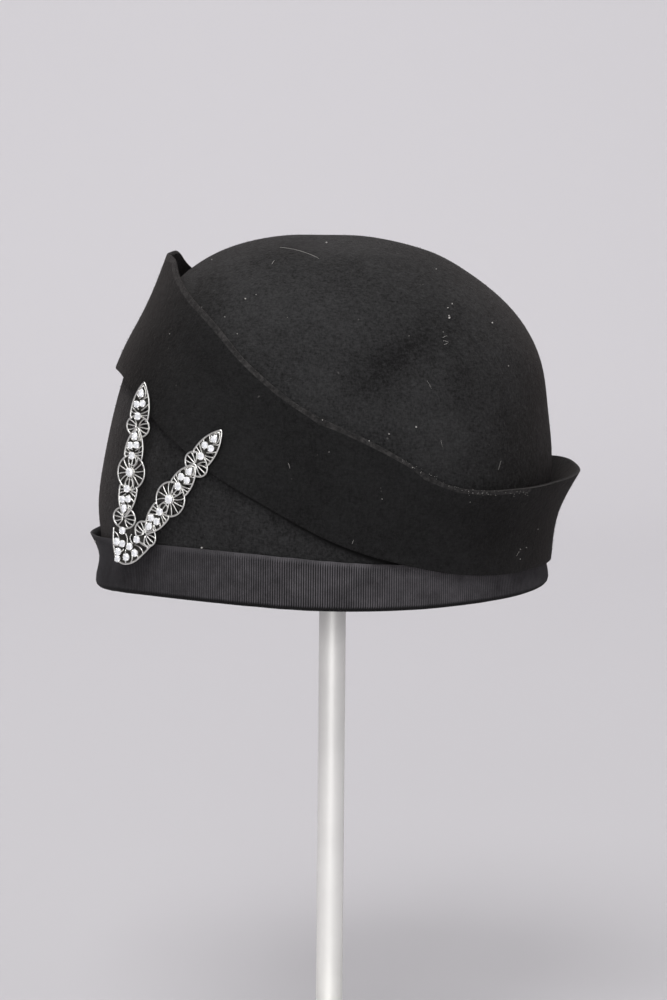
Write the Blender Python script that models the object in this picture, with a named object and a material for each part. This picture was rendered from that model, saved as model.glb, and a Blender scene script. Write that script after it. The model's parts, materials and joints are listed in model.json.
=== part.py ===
"""A felt cloche hat on a plain pole stand, in metres, +Z up.

The hat's front faces -Y and the wearer's left is +X. The origin is the middle of the stand's underside.
Turns are angles round the hat from its front, by its left side, to its back. Heights on the hat are
measured from its rim level, and as shares of the crown's rise.
"""

import math

import bmesh
import bpy
from mathutils import Matrix, Vector
from mathutils.geometry import delaunay_2d_cdt

# Hat block
HALF_LENGTH = 0.100
HALF_WIDTH = 0.084
CROWN_RISE = 0.155
PLAN_SQUARENESS = 2.15
CROWN_WALL = 0.002
SOFT_CLEARANCE = 0.0003
RIM_LIFT = 0.003

# Cuff
CUFF_WALL = 0.002
CUFF_FLARE = 0.010

# Ribbon band
RIBBON_HEIGHT = 0.0218
RIBBON_WALL = 0.001
RIBBON_TURN_IN = 0.007
RIBBON_FULLNESS = 0.0025

# Brooch
BROOCH_PITCH = 0.0200
BROOCH_WALL = 0.001
BROOCH_WIRE = 0.0008
WHEEL_RADIUS = 0.0078
WHEEL_SPOKES = 14
SPOKE_WIDTH = 0.0007
FAN_HALF_WIDTH = 0.0066
FAN_HALF_LENGTH = 0.0050
FAN_RIB_STEP_DEG = 36
LEAF_HALF_WIDTH = 0.0053
LEAF_LENGTH = 0.0152
LEAF_FULLNESS = 2.3
BROOCH_BEND_RADIUS = 0.300
BROOCH_FACING_DEG = 57.0
BROOCH_LEAN_DEG = 5.0
BROOCH_FOOT_TURN_DEG = 37.7
BROOCH_FOOT_RISE = 0.0923
BROOCH_CLEARANCE = 0.0003
BROOCH_SEARCH = 0.030
STONE_DIAMETER = 0.0028
STONE_HEIGHT = 0.0013
STONE_CLEARANCE = 0.0003
WHEEL_STONE_SIZE = 1.25
PIN_DIAMETER = 0.0012
PIN_STAND_OFF = 0.0012
PIN_REACH = 0.80
EDGE_MARGIN = 0.003

# Stand
RIM_ABOVE_FLOOR = 0.225
POLE_DIAMETER = 0.012
POLE_BEHIND_CENTRE = 0.0052
BASE_RADIUS = 0.075
BASE_THICKNESS = 0.010
BASE_EDGE = 0.002
COLLAR_WALL = 0.004
COLLAR_HEIGHT = 0.014
SEAT_THICKNESS = 0.004
STAND_CLEARANCE = 0.0003
SEAT_ROWS = 3

# Mesh fineness
CROWN_COLUMNS = 48
CUFF_COLUMNS = 60
CUFF_ROWS = 4
STAND_SIDES = 40
MILLIMETRE = 0.001


def table(columns, *rows):
    """Rows of named values."""
    names = columns.split()
    return [dict(zip(names, row)) for row in rows]


# Reach is a share of the half length in front and behind, and of the half width at the side.
CROWN_SECTIONS = table(
    "rise front back side",
    (0.000, 0.985, 0.985, 0.985),
    (0.080, 0.977, 0.975, 0.982),
    (0.160, 0.990, 0.978, 0.988),
    (0.240, 1.008, 0.990, 0.998),
    (0.370, 0.970, 1.022, 0.996),
    (0.500, 0.928, 0.993, 0.965),
    (0.620, 0.872, 0.978, 0.915),
    (0.720, 0.805, 0.908, 0.845),
    (0.810, 0.712, 0.812, 0.755),
    (0.880, 0.625, 0.676, 0.645),
    (0.935, 0.508, 0.545, 0.520),
    (0.957, 0.434, 0.464, 0.446),
    (0.975, 0.352, 0.372, 0.358),
    (0.995, 0.190, 0.200, 0.195),
    (1.000, 0.000, 0.000, 0.000),
)

# Depth is a share of the crown's wall, and the spreads are one standard deviation.
CROWN_DENTS = table(
    "turn rise depth turn_spread rise_spread",
    (100, 0.985, 0.45, 40, 0.02),
    (180, 0.700, -0.40, 22, 0.05),
    (150, 0.560, 0.35, 20, 0.08),
)

# Lift is a share of the rim lift: the rim dips at the sides.
RIM_LINE = table(
    "turn lift",
    (0, -0.25),
    (18, 0.20),
    (35, 0.75),
    (52, 0.87),
    (68, 0.70),
    (82, 0.28),
    (95, 0.00),
    (110, 0.07),
    (126, 0.38),
    (145, 0.66),
    (162, 0.92),
    (180, 1.00),
)

# Heights are shares of the crown's rise, and gaps to the crown are shares of the cuff's flare.
CUFF_SECTIONS = table(
    "turn lower upper lower_gap middle_gap upper_gap",
    (0, 0.608, 0.885, 0.22, 0.06, 1.00),
    (12, 0.608, 0.890, 0.20, 0.07, 0.86),
    (29, 0.566, 0.855, 0.14, 0.08, 0.58),
    (45, 0.480, 0.803, 0.08, 0.08, 0.36),
    (57, 0.407, 0.752, 0.06, 0.08, 0.24),
    (67, 0.343, 0.680, 0.05, 0.07, 0.16),
    (75, 0.300, 0.623, 0.05, 0.06, 0.13),
    (83, 0.249, 0.566, 0.05, 0.06, 0.12),
    (90, 0.203, 0.520, 0.06, 0.06, 0.12),
    (95, 0.176, 0.496, 0.09, 0.07, 0.13),
    (101, 0.151, 0.462, 0.17, 0.10, 0.16),
    (107, 0.132, 0.427, 0.19, 0.12, 0.20),
    (113, 0.114, 0.376, 0.19, 0.14, 0.27),
    (120, 0.094, 0.337, 0.19, 0.18, 0.40),
    (130, 0.077, 0.323, 0.19, 0.22, 0.55),
    (142, 0.068, 0.322, 0.19, 0.26, 0.70),
    (157, 0.066, 0.334, 0.19, 0.30, 0.85),
    (180, 0.064, 0.343, 0.19, 0.34, 0.96),
)

# Height is a share of the ribbon's height, and the gaps are shares of the ribbon's fullness.
RIBBON_SECTIONS = table(
    "turn height foot_gap waist_gap top_gap",
    (0, 1.06, 0.55, 0.05, 0.95),
    (8, 1.05, 0.50, 0.05, 0.70),
    (20, 1.02, 0.35, 0.04, 0.15),
    (40, 1.02, 0.15, 0.02, 0.02),
    (60, 1.02, 0.05, 0.00, 0.00),
    (85, 0.99, 0.00, 0.00, 0.00),
    (107, 0.88, 0.00, 0.00, 0.00),
    (125, 0.84, 0.00, 0.00, 0.00),
    (150, 0.82, 0.10, 0.00, 0.00),
    (180, 0.82, 0.25, 0.00, 0.00),
)

# The arms of the V, placed by their wheels: shares of the pitch from the foot of the V.
BROOCH_ARMS = table(
    "across up lean",
    (-0.019, 1.927, 83.0),
    (1.074, 1.427, 52.2),
)

# Stones of one leaf: along is a share of the leaf from its base, across of its half width.
LEAF_STONES = table(
    "along across size",
    (0.02, 0.00, 1.05),
    (0.40, 0.30, 1.00),
    (0.34, -0.30, 1.00),
    (0.66, 0.00, 1.15),
)

# Openings of one leaf, on both sides of its spine: all shares as for the stones.
LEAF_OPENINGS = table(
    "start end inner_start inner_end",
    (0.03, 0.12, 0.34, 0.30),
    (0.18, 0.27, 0.30, 0.48),
    (0.33, 0.45, 0.58, 0.58),
    (0.53, 0.72, 0.34, 0.34),
)

# The foot where the arms meet: its outline, openings and stones, as shares of the pitch.
FOOT_OUTLINE = [
    (-0.44, 0.72),
    (-0.44, 0.43),
    (-0.38, 0.17),
    (-0.29, 0.00),
    (-0.11, -0.07),
    (0.08, -0.05),
    (0.24, 0.02),
    (0.39, 0.14),
    (0.54, 0.28),
    (0.66, 0.42),
    (0.40, 0.64),
    (0.25, 0.73),
    (0.02, 0.78),
]
FOOT_OPENINGS = [
    [(-0.395, 0.66), (-0.395, 0.54), (-0.30, 0.54), (-0.28, 0.64)],
    [(-0.395, 0.48), (-0.385, 0.35), (-0.35, 0.35), (-0.355, 0.48)],
    [(-0.365, 0.28), (-0.34, 0.17), (-0.305, 0.17), (-0.315, 0.28)],
    [(0.02, 0.60), (0.03, 0.47), (0.12, 0.50), (0.11, 0.62)],
    [(0.32, 0.19), (0.37, 0.21), (0.48, 0.34), (0.39, 0.34)],
]
FOOT_STONES = table(
    "across up size",
    (-0.27, 0.415, 1.05),
    (-0.11, 0.38, 1.00),
    (-0.215, 0.20, 1.10),
    (-0.225, 0.045, 0.95),
    (0.095, 0.335, 1.05),
    (0.245, 0.205, 1.05),
    (0.017, 0.10, 1.10),
    (-0.13, 0.66, 1.05),
    (0.28, 0.50, 1.05),
)


def smooth(rows, key, name, x):
    """A value between the rows of a table, along a curve with no overshoot."""
    xs = [row[key] for row in rows]
    ys = [row[name] for row in rows]
    if xs[0] > xs[-1]:
        xs, ys = xs[::-1], ys[::-1]
    x = min(max(x, xs[0]), xs[-1])
    slopes = [(ys[i + 1] - ys[i]) / (xs[i + 1] - xs[i]) for i in range(len(xs) - 1)]
    i = min(max(sum(1 for v in xs if v <= x) - 1, 0), len(xs) - 2)

    def tangent(k):
        if k == 0 or k == len(xs) - 1:
            return 0.0 if key == "turn" else slopes[min(k, len(slopes) - 1)]
        before, after = slopes[k - 1], slopes[k]
        return 0.0 if before * after <= 0 else 2 * before * after / (before + after)

    width = xs[i + 1] - xs[i]
    t = (x - xs[i]) / width
    return (
        (2 * t**3 - 3 * t**2 + 1) * ys[i]
        + (t**3 - 2 * t**2 + t) * width * tangent(i)
        + (3 * t**2 - 2 * t**3) * ys[i + 1]
        + (t**3 - t**2) * width * tangent(i + 1)
    )


for section in CROWN_SECTIONS:
    section["drop"] = math.sqrt(1 - section["rise"])


def folded(turn):
    """The turn in degrees from the front, the same on the left and the right."""
    degrees = math.degrees(turn) % 360
    return min(degrees, 360 - degrees)


def rim_lift(turn):
    return RIM_LIFT * smooth(RIM_LINE, "turn", "lift", folded(turn))


def crown_surface(turn, rise):
    """A point of the crown's outer surface, without dents, from the hat's own centre at rim level."""
    drop = math.sqrt(max(1 - rise, 0))
    ahead, aside = math.cos(turn), math.sin(turn)
    end = smooth(CROWN_SECTIONS, "drop", "front" if ahead > 0 else "back", drop)
    side = smooth(CROWN_SECTIONS, "drop", "side", drop)
    power = 2 / (2 + (PLAN_SQUARENESS - 2) * (1 - rise))
    x = HALF_WIDTH * side * math.copysign(abs(aside) ** power, aside)
    y = -HALF_LENGTH * end * math.copysign(abs(ahead) ** power, ahead)
    return Vector((x, y, CROWN_RISE * rise + rim_lift(turn) * (1 - rise) ** 4))


def crown_normal(turn, rise):
    step = 0.02
    high = min(rise + 0.01, 1 - 0.25 * (1 - rise))
    low = max(rise - 0.01, 0)
    if rise >= 1:
        return Vector((0, 0, 1))
    along = crown_surface(turn + step, rise) - crown_surface(turn - step, rise)
    up = crown_surface(turn, high) - crown_surface(turn, low)
    return along.cross(up).normalized()


def dent_depth(turn, rise):
    total = 0.0
    for dent in CROWN_DENTS:
        away = (folded(turn) - dent["turn"]) / dent["turn_spread"]
        above = (rise - dent["rise"]) / dent["rise_spread"]
        total += dent["depth"] * math.exp(-0.5 * (away**2 + above**2))
    return CROWN_WALL * total * (0 if rise >= 1 else 1)


def crown_point(turn, rise, out=0.0):
    """A point out from the crown's outer surface by a distance, or in from it where that is negative."""
    normal = crown_normal(turn, rise)
    if rise <= 0:
        normal = Vector((normal.x, normal.y, 0)).normalized()
    return crown_surface(turn, rise) + normal * (out - dent_depth(turn, rise))


def cuff_gap(section, share):
    """The gap between crown and cuff: a curve through its lower, middle and upper values."""
    low, middle, high = (section[k] for k in ("lower_gap", "middle_gap", "upper_gap"))
    early = low + (middle - low) * math.sin(math.pi / 2 * min(2 * share, 1))
    late = (high - middle) * max(2 * share - 1, 0) ** 1.5
    return CUFF_FLARE * (early + late)


def cuff_section(turn):
    degrees = folded(turn)
    names = ("lower", "upper", "lower_gap", "middle_gap", "upper_gap")
    return {name: smooth(CUFF_SECTIONS, "turn", name, degrees) for name in names}


def cuff_point(turn, share, out):
    section = cuff_section(turn)
    rise = section["lower"] + (section["upper"] - section["lower"]) * share
    return crown_point(turn, rise, cuff_gap(section, share) + out)


def ribbon_section(turn):
    degrees = folded(turn)
    names = ("height", "foot_gap", "waist_gap", "top_gap")
    return {name: smooth(RIBBON_SECTIONS, "turn", name, degrees) for name in names}


def ribbon_ring(turn):
    """One J-shaped section of the ribbon: up the outside, back down against the felt, under the rim and in."""
    section = ribbon_section(turn)
    height = section["height"] * RIBBON_HEIGHT

    def outside(z, name, out):
        gap = SOFT_CLEARANCE + section[name] * RIBBON_FULLNESS
        point = crown_point(turn, max(z, 0) / CROWN_RISE, gap + out)
        point.z = rim_lift(turn) + z
        return point

    def inside(z, out):
        point = crown_point(turn, max(z, 0) / CROWN_RISE, -CROWN_WALL - SOFT_CLEARANCE - out)
        point.z = rim_lift(turn) + z
        return point

    under = -SOFT_CLEARANCE
    return [
        outside(under - RIBBON_WALL, "waist_gap", 0.3 * RIBBON_WALL),
        outside(0.08 * height, "foot_gap", RIBBON_WALL),
        outside(0.50 * height, "waist_gap", RIBBON_WALL),
        outside(0.85 * height, "top_gap", RIBBON_WALL),
        outside(height, "top_gap", RIBBON_WALL),
        outside(height, "top_gap", 0),
        outside(0.50 * height, "waist_gap", 0),
        outside(0.08 * height, "foot_gap", 0),
        outside(under, "waist_gap", 0),
        inside(under, 0),
        inside(RIBBON_TURN_IN, 0),
        inside(RIBBON_TURN_IN, RIBBON_WALL),
        inside(under - RIBBON_WALL, 0.3 * RIBBON_WALL),
    ]


HAT_PLACE = Vector((0, -POLE_BEHIND_CENTRE, RIM_ABOVE_FLOOR))


def material(name, colour, roughness, metallic=0.0):
    made = bpy.data.materials.new(name)
    made.use_nodes = True
    shader = made.node_tree.nodes["Principled BSDF"]
    shader.inputs["Base Color"].default_value = (*colour, 1)
    shader.inputs["Roughness"].default_value = roughness
    shader.inputs["Metallic"].default_value = metallic
    return made


def place(name, bm, finish, smooth_angle=40):
    bmesh.ops.recalc_face_normals(bm, faces=bm.faces)
    mesh = bpy.data.meshes.new(name)
    bm.to_mesh(mesh)
    bm.free()
    mesh.shade_smooth()
    mesh.set_sharp_from_angle(angle=math.radians(smooth_angle))
    mesh.materials.append(finish)
    made = bpy.data.objects.new(name, mesh)
    bpy.context.scene.collection.objects.link(made)
    return made


def skin(rings, closed=False):
    """A bmesh through rings of points, ending in points, or going round where closed."""
    bm = bmesh.new()
    loops = [[bm.verts.new(point) for point in ring] for ring in rings]
    pairs = list(zip(loops, loops[1:]))
    if closed:
        pairs.append((loops[-1], loops[0]))
    for one, other in pairs:
        size = max(len(one), len(other))
        for k in range(size):
            corners = [
                one[k % len(one)],
                one[(k + 1) % len(one)],
                other[(k + 1) % len(other)],
                other[k % len(other)],
            ]
            bm.faces.new(list(dict.fromkeys(corners)))
    return bm


def turns(count):
    return [2 * math.pi * k / count for k in range(count)]


def build_crown(felt):
    outer = [
        [crown_point(turn, row["rise"]) for turn in turns(CROWN_COLUMNS)]
        for row in CROWN_SECTIONS[:-1]
    ]
    inner = [
        [crown_point(turn, row["rise"], -CROWN_WALL) for turn in turns(CROWN_COLUMNS)]
        for row in CROWN_SECTIONS[:-1]
    ]
    tip = [crown_point(0, 1)]
    inner_tip = [crown_point(0, 1, -CROWN_WALL)]
    rings = [inner_tip, *inner[::-1], *outer, tip]
    crown = place("crown", skin(rings), felt)
    crown.location = HAT_PLACE


def build_cuff(felt):
    shares = [row / CUFF_ROWS for row in range(CUFF_ROWS + 1)]
    rings = []
    for turn in turns(CUFF_COLUMNS):
        outside = [cuff_point(turn, share, CUFF_WALL) for share in shares]
        inside = [cuff_point(turn, share, 0) for share in reversed(shares)]
        rings.append(outside + inside)
    cuff = place("cuff", skin(rings, closed=True), felt)
    cuff.location = HAT_PLACE


def build_ribbon(ribbon):
    rings = [ribbon_ring(turn) for turn in turns(CROWN_COLUMNS)]
    band = place("ribbon_band", skin(rings, closed=True), ribbon)
    band.location = HAT_PLACE


def polar(radius, angle, stretch=1.0):
    return (radius * math.cos(angle), radius * stretch * math.sin(angle))


def wheel_plate():
    """A wheel about the origin: rim, hub and spokes."""
    rim = [polar(WHEEL_RADIUS, turn) for turn in turns(2 * WHEEL_SPOKES)]
    hub = WHEEL_STONE_SIZE * STONE_DIAMETER / 2
    inside = WHEEL_RADIUS - BROOCH_WIRE
    step = 2 * math.pi / WHEEL_SPOKES
    openings = []
    for k in range(WHEEL_SPOKES):
        middle = (k + 0.5) * step
        near = (step - SPOKE_WIDTH / hub) / 2
        far = (step - SPOKE_WIDTH / inside) / 2
        openings.append(
            [
                polar(hub, middle - near),
                polar(inside, middle - far),
                polar(inside, middle + far),
                polar(hub, middle + near),
            ]
        )
    return rim, openings


def fan_plate():
    """A fan about the origin: an oval rim with ribs out to both sides. The arm runs along Y."""
    stretch = FAN_HALF_LENGTH / FAN_HALF_WIDTH
    rim = [polar(FAN_HALF_WIDTH, turn, stretch) for turn in turns(20)]
    inside = FAN_HALF_WIDTH - BROOCH_WIRE
    hub = 2 * BROOCH_WIRE
    step = math.radians(FAN_RIB_STEP_DEG)
    near, far = (step - SPOKE_WIDTH / hub * 0.7) / 2, (step - SPOKE_WIDTH / inside * 1.2) / 2
    openings = []
    for side in (0, math.pi):
        for k in (-1.5, -0.5, 0.5, 1.5):
            middle = side + k * step
            openings.append(
                [
                    polar(hub, middle - near, stretch),
                    polar(inside, middle - far, stretch),
                    polar(inside, middle + far, stretch),
                    polar(hub, middle + near, stretch),
                ]
            )
    return rim, openings


def leaf_width(along):
    """The half width of a leaf at a share of its length from the base: a pointed arch."""
    return LEAF_HALF_WIDTH * (1 - along**LEAF_FULLNESS)


def leaf_plate(length):
    """A leaf from the origin up along Y to its tip."""
    stations = (0.0, 0.2, 0.4, 0.55, 0.7, 0.82, 0.92)
    right = [(leaf_width(q), q * length) for q in stations]
    left = [(-x, y) for x, y in reversed(right)]
    outline = [*right, (0, length), *left]
    openings = []
    for row in LEAF_OPENINGS:
        for side in (1, -1):
            corners = [
                (row["inner_start"] * LEAF_HALF_WIDTH, row["start"]),
                (leaf_width(row["start"]) - BROOCH_WIRE, row["start"]),
                (leaf_width(row["end"]) - BROOCH_WIRE, row["end"]),
                (row["inner_end"] * leaf_width(row["end"]), row["end"]),
            ]
            openings.append([(side * x, q * length) for x, q in corners])
    return outline, openings


def foot_plate():
    """The piece at the point of the V, from the foot's own outline."""

    def sized(points):
        return [(x * BROOCH_PITCH, y * BROOCH_PITCH) for x, y in points]

    return sized(FOOT_OUTLINE), [sized(points) for points in FOOT_OPENINGS]


def arm_matrix(arm):
    """From an arm's own plane, with the wheel at the origin and the tip up Y, to the plane of the V."""
    middle = Vector((arm["across"], arm["up"], 0)) * BROOCH_PITCH
    return Matrix.Translation(middle) @ Matrix.Rotation(math.radians(arm["lean"] - 90), 4, "Z")


def leaf_places():
    """Where the leaves of an arm start, which way they point and how long they are. The foot takes the fourth."""
    fan_edge = BROOCH_PITCH + FAN_HALF_LENGTH - BROOCH_WIRE
    wheel_edge = WHEEL_RADIUS - BROOCH_WIRE
    inner = BROOCH_PITCH - wheel_edge
    return [(fan_edge, 1, LEAF_LENGTH), (wheel_edge, 1, inner), (-wheel_edge, -1, inner)]


def placed(plate, where):
    """A plate's outline and openings, moved to where the plate lies in the V."""
    outline, openings = plate
    moved = [[(where @ Vector((x, y, 0))).xy[:] for x, y in points] for points in (outline, *openings)]
    return moved[0], moved[1:]


def brooch_stations():
    """The plates of the V and the places of its stones, both in its flat plane."""
    plates = [placed(foot_plate(), Matrix.Identity(4))]
    stones = [(row["across"] * BROOCH_PITCH, row["up"] * BROOCH_PITCH, row["size"]) for row in FOOT_STONES]
    for arm in BROOCH_ARMS:
        where = arm_matrix(arm)
        plates.append(placed(wheel_plate(), where))
        centre = where.translation
        stones.append((centre.x, centre.y, WHEEL_STONE_SIZE))
        for end in (1, -1):
            plates.append(placed(fan_plate(), where @ Matrix.Translation((0, end * BROOCH_PITCH, 0))))
        for start, way, length in leaf_places():
            turned = where @ Matrix.Translation((0, start, 0)) @ Matrix.Rotation(0 if way > 0 else math.pi, 4, "Z")
            plates.append(placed(leaf_plate(length), turned))
            for row in LEAF_STONES:
                spot = turned @ Vector((row["across"] * LEAF_HALF_WIDTH, row["along"] * length, 0))
                stones.append((spot.x, spot.y, row["size"]))
    return plates, stones


def holds(points, spot):
    """Whether a closed outline goes round a spot."""
    inside = False
    for (x0, y0), (x1, y1) in zip(points, points[1:] + points[:1]):
        if (y0 > spot.y) != (y1 > spot.y) and spot.x < x0 + (spot.y - y0) * (x1 - x0) / (y1 - y0):
            inside = not inside
    return inside


def soldered(plates):
    """The plates as one pierced sheet, triangulated along all their outlines, and thickened."""
    corners, edges = [], []
    for outline, openings in plates:
        for points in (outline, *openings):
            first = len(corners)
            corners += [Vector(point) / MILLIMETRE for point in points]
            edges += [(first + k, first + (k + 1) % len(points)) for k in range(len(points))]
    flat, _, faces, *_ = delaunay_2d_cdt(corners, edges, [], 0, 0.002)
    bm = bmesh.new()
    verts = [bm.verts.new((*point * MILLIMETRE, -BROOCH_WALL / 2)) for point in flat]
    for face in faces:
        spot = sum((flat[k] for k in face), Vector((0, 0))) / len(face) * MILLIMETRE
        if any(holds(outline, spot) and not any(holds(o, spot) for o in openings) for outline, openings in plates):
            bm.faces.new([verts[k] for k in face])
    bmesh.ops.delete(bm, geom=[v for v in verts if not v.link_faces], context="VERTS")
    raised = bmesh.ops.extrude_face_region(bm, geom=bm.faces[:], use_keep_orig=True)
    for item in raised["geom"]:
        if isinstance(item, bmesh.types.BMVert):
            item.co.z += BROOCH_WALL
    return bm


def brooch_axes():
    """The V's own directions: across to the back, up, and out of the hat."""
    facing, lean = math.radians(BROOCH_FACING_DEG), math.radians(BROOCH_LEAN_DEG)
    out = Vector((math.cos(lean) * math.sin(facing), -math.cos(lean) * math.cos(facing), math.sin(lean)))
    across = Vector((0, 0, 1)).cross(out).normalized()
    return across, out.cross(across), out


def brooch_point(x, y, lift, push):
    """A point of the V's plane, bent round the hat, on the hat."""
    across, up, out = brooch_axes()
    middle = BROOCH_PITCH
    turn = (x - middle) / BROOCH_BEND_RADIUS
    reach = BROOCH_BEND_RADIUS + lift
    foot = crown_surface(math.radians(BROOCH_FOOT_TURN_DEG), BROOCH_FOOT_RISE) + HAT_PLACE
    sideways = middle + reach * math.sin(turn)
    outward = reach * math.cos(turn) - BROOCH_BEND_RADIUS
    return foot + across * sideways + up * y + out * (outward + push)


def layer_thickness(turn, rise):
    """How far the outermost layer stands out from the crown there."""
    cuff = cuff_section(turn)
    ribbon = ribbon_section(turn)
    out = 0.0
    margin = EDGE_MARGIN / CROWN_RISE
    if cuff["lower"] - margin < rise < cuff["upper"] + margin:
        share = (rise - cuff["lower"]) / (cuff["upper"] - cuff["lower"])
        out = cuff_gap(cuff, min(max(share, 0), 1)) + CUFF_WALL
    if rise * CROWN_RISE < ribbon["height"] * RIBBON_HEIGHT + EDGE_MARGIN:
        fullness = max(ribbon["foot_gap"], ribbon["top_gap"])
        out = max(out, SOFT_CLEARANCE + fullness * RIBBON_FULLNESS + RIBBON_WALL)
    return out


def stands_clear(point):
    """Whether a point is outside the hat's outermost layer by the brooch's clearance."""
    spot = point - HAT_PLACE
    rise = min(max(spot.z / CROWN_RISE, 0), 0.999)
    turn = math.atan2(spot.x / HALF_WIDTH, -spot.y / HALF_LENGTH)
    for _ in range(3):
        surface = crown_surface(turn, rise)
        found = math.atan2(surface.x / HALF_WIDTH, -surface.y / HALF_LENGTH)
        turn += math.atan2(spot.x / HALF_WIDTH, -spot.y / HALF_LENGTH) - found
    surface = crown_surface(turn, rise)
    away = (spot - surface).dot(crown_normal(turn, rise))
    return away > layer_thickness(turn, rise) + BROOCH_CLEARANCE


def resting_push(points):
    """How far out the V stands for all of these points of its back to be clear of the hat."""
    low, high = -BROOCH_SEARCH, BROOCH_SEARCH
    for _ in range(18):
        middle = (low + high) / 2
        if all(stands_clear(brooch_point(*point, middle)) for point in points):
            high = middle
        else:
            low = middle
    return high


def build_brooch(silver, crystal):
    plates, stones = brooch_stations()
    bm = soldered(plates)
    back = [tuple(v.co) for v in bm.verts if v.co.z < 0][::3]
    push = resting_push(back + [(x, y, lift - PIN_DIAMETER / 2) for x, y, lift in pin_route()])
    for vert in bm.verts:
        vert.co = brooch_point(*vert.co, push)
    place("brooch_frame", bm, silver, 30)
    build_pin(push, silver)
    for number, (x, y, size) in enumerate(stones, 1):
        build_stone(f"brooch_stone_{number:02d}", x, y, size * STONE_DIAMETER / 2, push, crystal)


def pin_route():
    """The middle line of the pin behind the first arm: it stands off the arm's back on two bent ends."""
    where = arm_matrix(BROOCH_ARMS[0])
    near = -0.5 * BROOCH_WALL - BROOCH_CLEARANCE
    far = near - PIN_STAND_OFF - PIN_DIAMETER / 2
    route = [(-1.0, near), (-1.0, far), (-0.5, far), (0.0, far), (0.5, far), (1.0, far), (1.0, near)]
    spots = [where @ Vector((0, along * PIN_REACH * BROOCH_PITCH, 0)) for along, _ in route]
    return [(*spot.xy, lift) for spot, (_, lift) in zip(spots, route)]


def build_pin(push, silver):
    route = pin_route()
    curve = bpy.data.curves.new("brooch_pin", "CURVE")
    curve.dimensions = "3D"
    curve.bevel_depth = PIN_DIAMETER / 2
    curve.bevel_resolution = 1
    curve.use_fill_caps = True
    spline = curve.splines.new("POLY")
    spline.points.add(len(route) - 1)
    for point, spot in zip(spline.points, route):
        point.co = (*brooch_point(*spot, push), 1)
    curve.materials.append(silver)
    pin = bpy.data.objects.new("brooch_pin", curve)
    bpy.context.scene.collection.objects.link(pin)


def build_stone(name, x, y, radius, push, crystal):
    """A round stone with a table and eight facets above its girdle, and eight below."""
    levels = ((0.45, 0.00), (1.00, 0.45), (0.56, 1.00))
    rise = 0.5 * BROOCH_WALL + STONE_CLEARANCE
    rings = []
    for share, height in levels:
        ring = []
        for turn in turns(8):
            u, v = polar(share * radius, turn)
            ring.append(brooch_point(x + u, y + v, rise + height * STONE_HEIGHT, push))
        rings.append(ring)
    bm = skin(rings)
    loose = [edge for edge in bm.edges if edge.is_boundary]
    bmesh.ops.edgeloop_fill(bm, edges=loose)
    place(name, bm, crystal, 5)


def lathe(profile, sides=STAND_SIDES):
    """A bmesh of a profile of radius and height turned about Z, closed at both ends on the axis."""
    rings = []
    for radius, height in profile:
        if radius == 0:
            rings.append([Vector((0, 0, height))])
        else:
            rings.append([Vector((*polar(radius, turn), height)) for turn in turns(sides)])
    return skin(rings)


def seat_top(turn, rise):
    """A point of the seat's upper face, which follows the crown's inner surface."""
    return crown_point(turn, rise, -CROWN_WALL - STAND_CLEARANCE) + HAT_PLACE


SEAT_RISES = [row["rise"] for row in CROWN_SECTIONS[-SEAT_ROWS:]]
POLE_RADIUS = POLE_DIAMETER / 2
SOCKET_RADIUS = POLE_RADIUS + STAND_CLEARANCE
COLLAR_RADIUS = SOCKET_RADIUS + COLLAR_WALL
SEAT_UNDERSIDE = min(seat_top(turn, SEAT_RISES[0]).z for turn in turns(CROWN_COLUMNS)) - SEAT_THICKNESS
SEAT_FOOT = SEAT_UNDERSIDE - COLLAR_HEIGHT
POLE_TOP = SEAT_UNDERSIDE - STAND_CLEARANCE
SOCKET_FLOOR = BASE_THICKNESS / 2


def build_base(metal):
    top = BASE_THICKNESS + COLLAR_HEIGHT
    profile = [
        (0, 0),
        (BASE_RADIUS - BASE_EDGE, 0),
        (BASE_RADIUS, BASE_EDGE),
        (BASE_RADIUS, BASE_THICKNESS - BASE_EDGE),
        (BASE_RADIUS - BASE_EDGE, BASE_THICKNESS),
        (COLLAR_RADIUS, BASE_THICKNESS),
        (COLLAR_RADIUS, top - BASE_EDGE / 2),
        (COLLAR_RADIUS - BASE_EDGE / 2, top),
        (SOCKET_RADIUS, top),
        (SOCKET_RADIUS, SOCKET_FLOOR),
        (0, SOCKET_FLOOR),
    ]
    place("stand_base", lathe(profile), metal)


def build_pole(metal):
    foot = SOCKET_FLOOR + STAND_CLEARANCE
    profile = [(0, foot), (POLE_RADIUS, foot), (POLE_RADIUS, POLE_TOP), (0, POLE_TOP)]
    place("stand_pole", lathe(profile, 24), metal)


def build_seat(metal):
    """The cap under the crown's top, with a socket for the pole."""
    around = turns(CROWN_COLUMNS)

    def circle(radius, height):
        return [Vector((radius * math.sin(t), -radius * math.cos(t), height)) for t in around]

    edge = [seat_top(turn, SEAT_RISES[0]) for turn in around]
    below = [Vector((point.x, point.y, SEAT_UNDERSIDE)) for point in edge]
    rings = [
        [seat_top(0, 1)],
        *[[seat_top(turn, rise) for turn in around] for rise in reversed(SEAT_RISES[1:-1])],
        edge,
        below,
        circle(COLLAR_RADIUS, SEAT_UNDERSIDE),
        circle(COLLAR_RADIUS, SEAT_FOOT),
        circle(SOCKET_RADIUS, SEAT_FOOT),
        circle(SOCKET_RADIUS, SEAT_UNDERSIDE),
        [Vector((0, 0, SEAT_UNDERSIDE))],
    ]
    place("stand_seat", skin(rings), metal)


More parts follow.
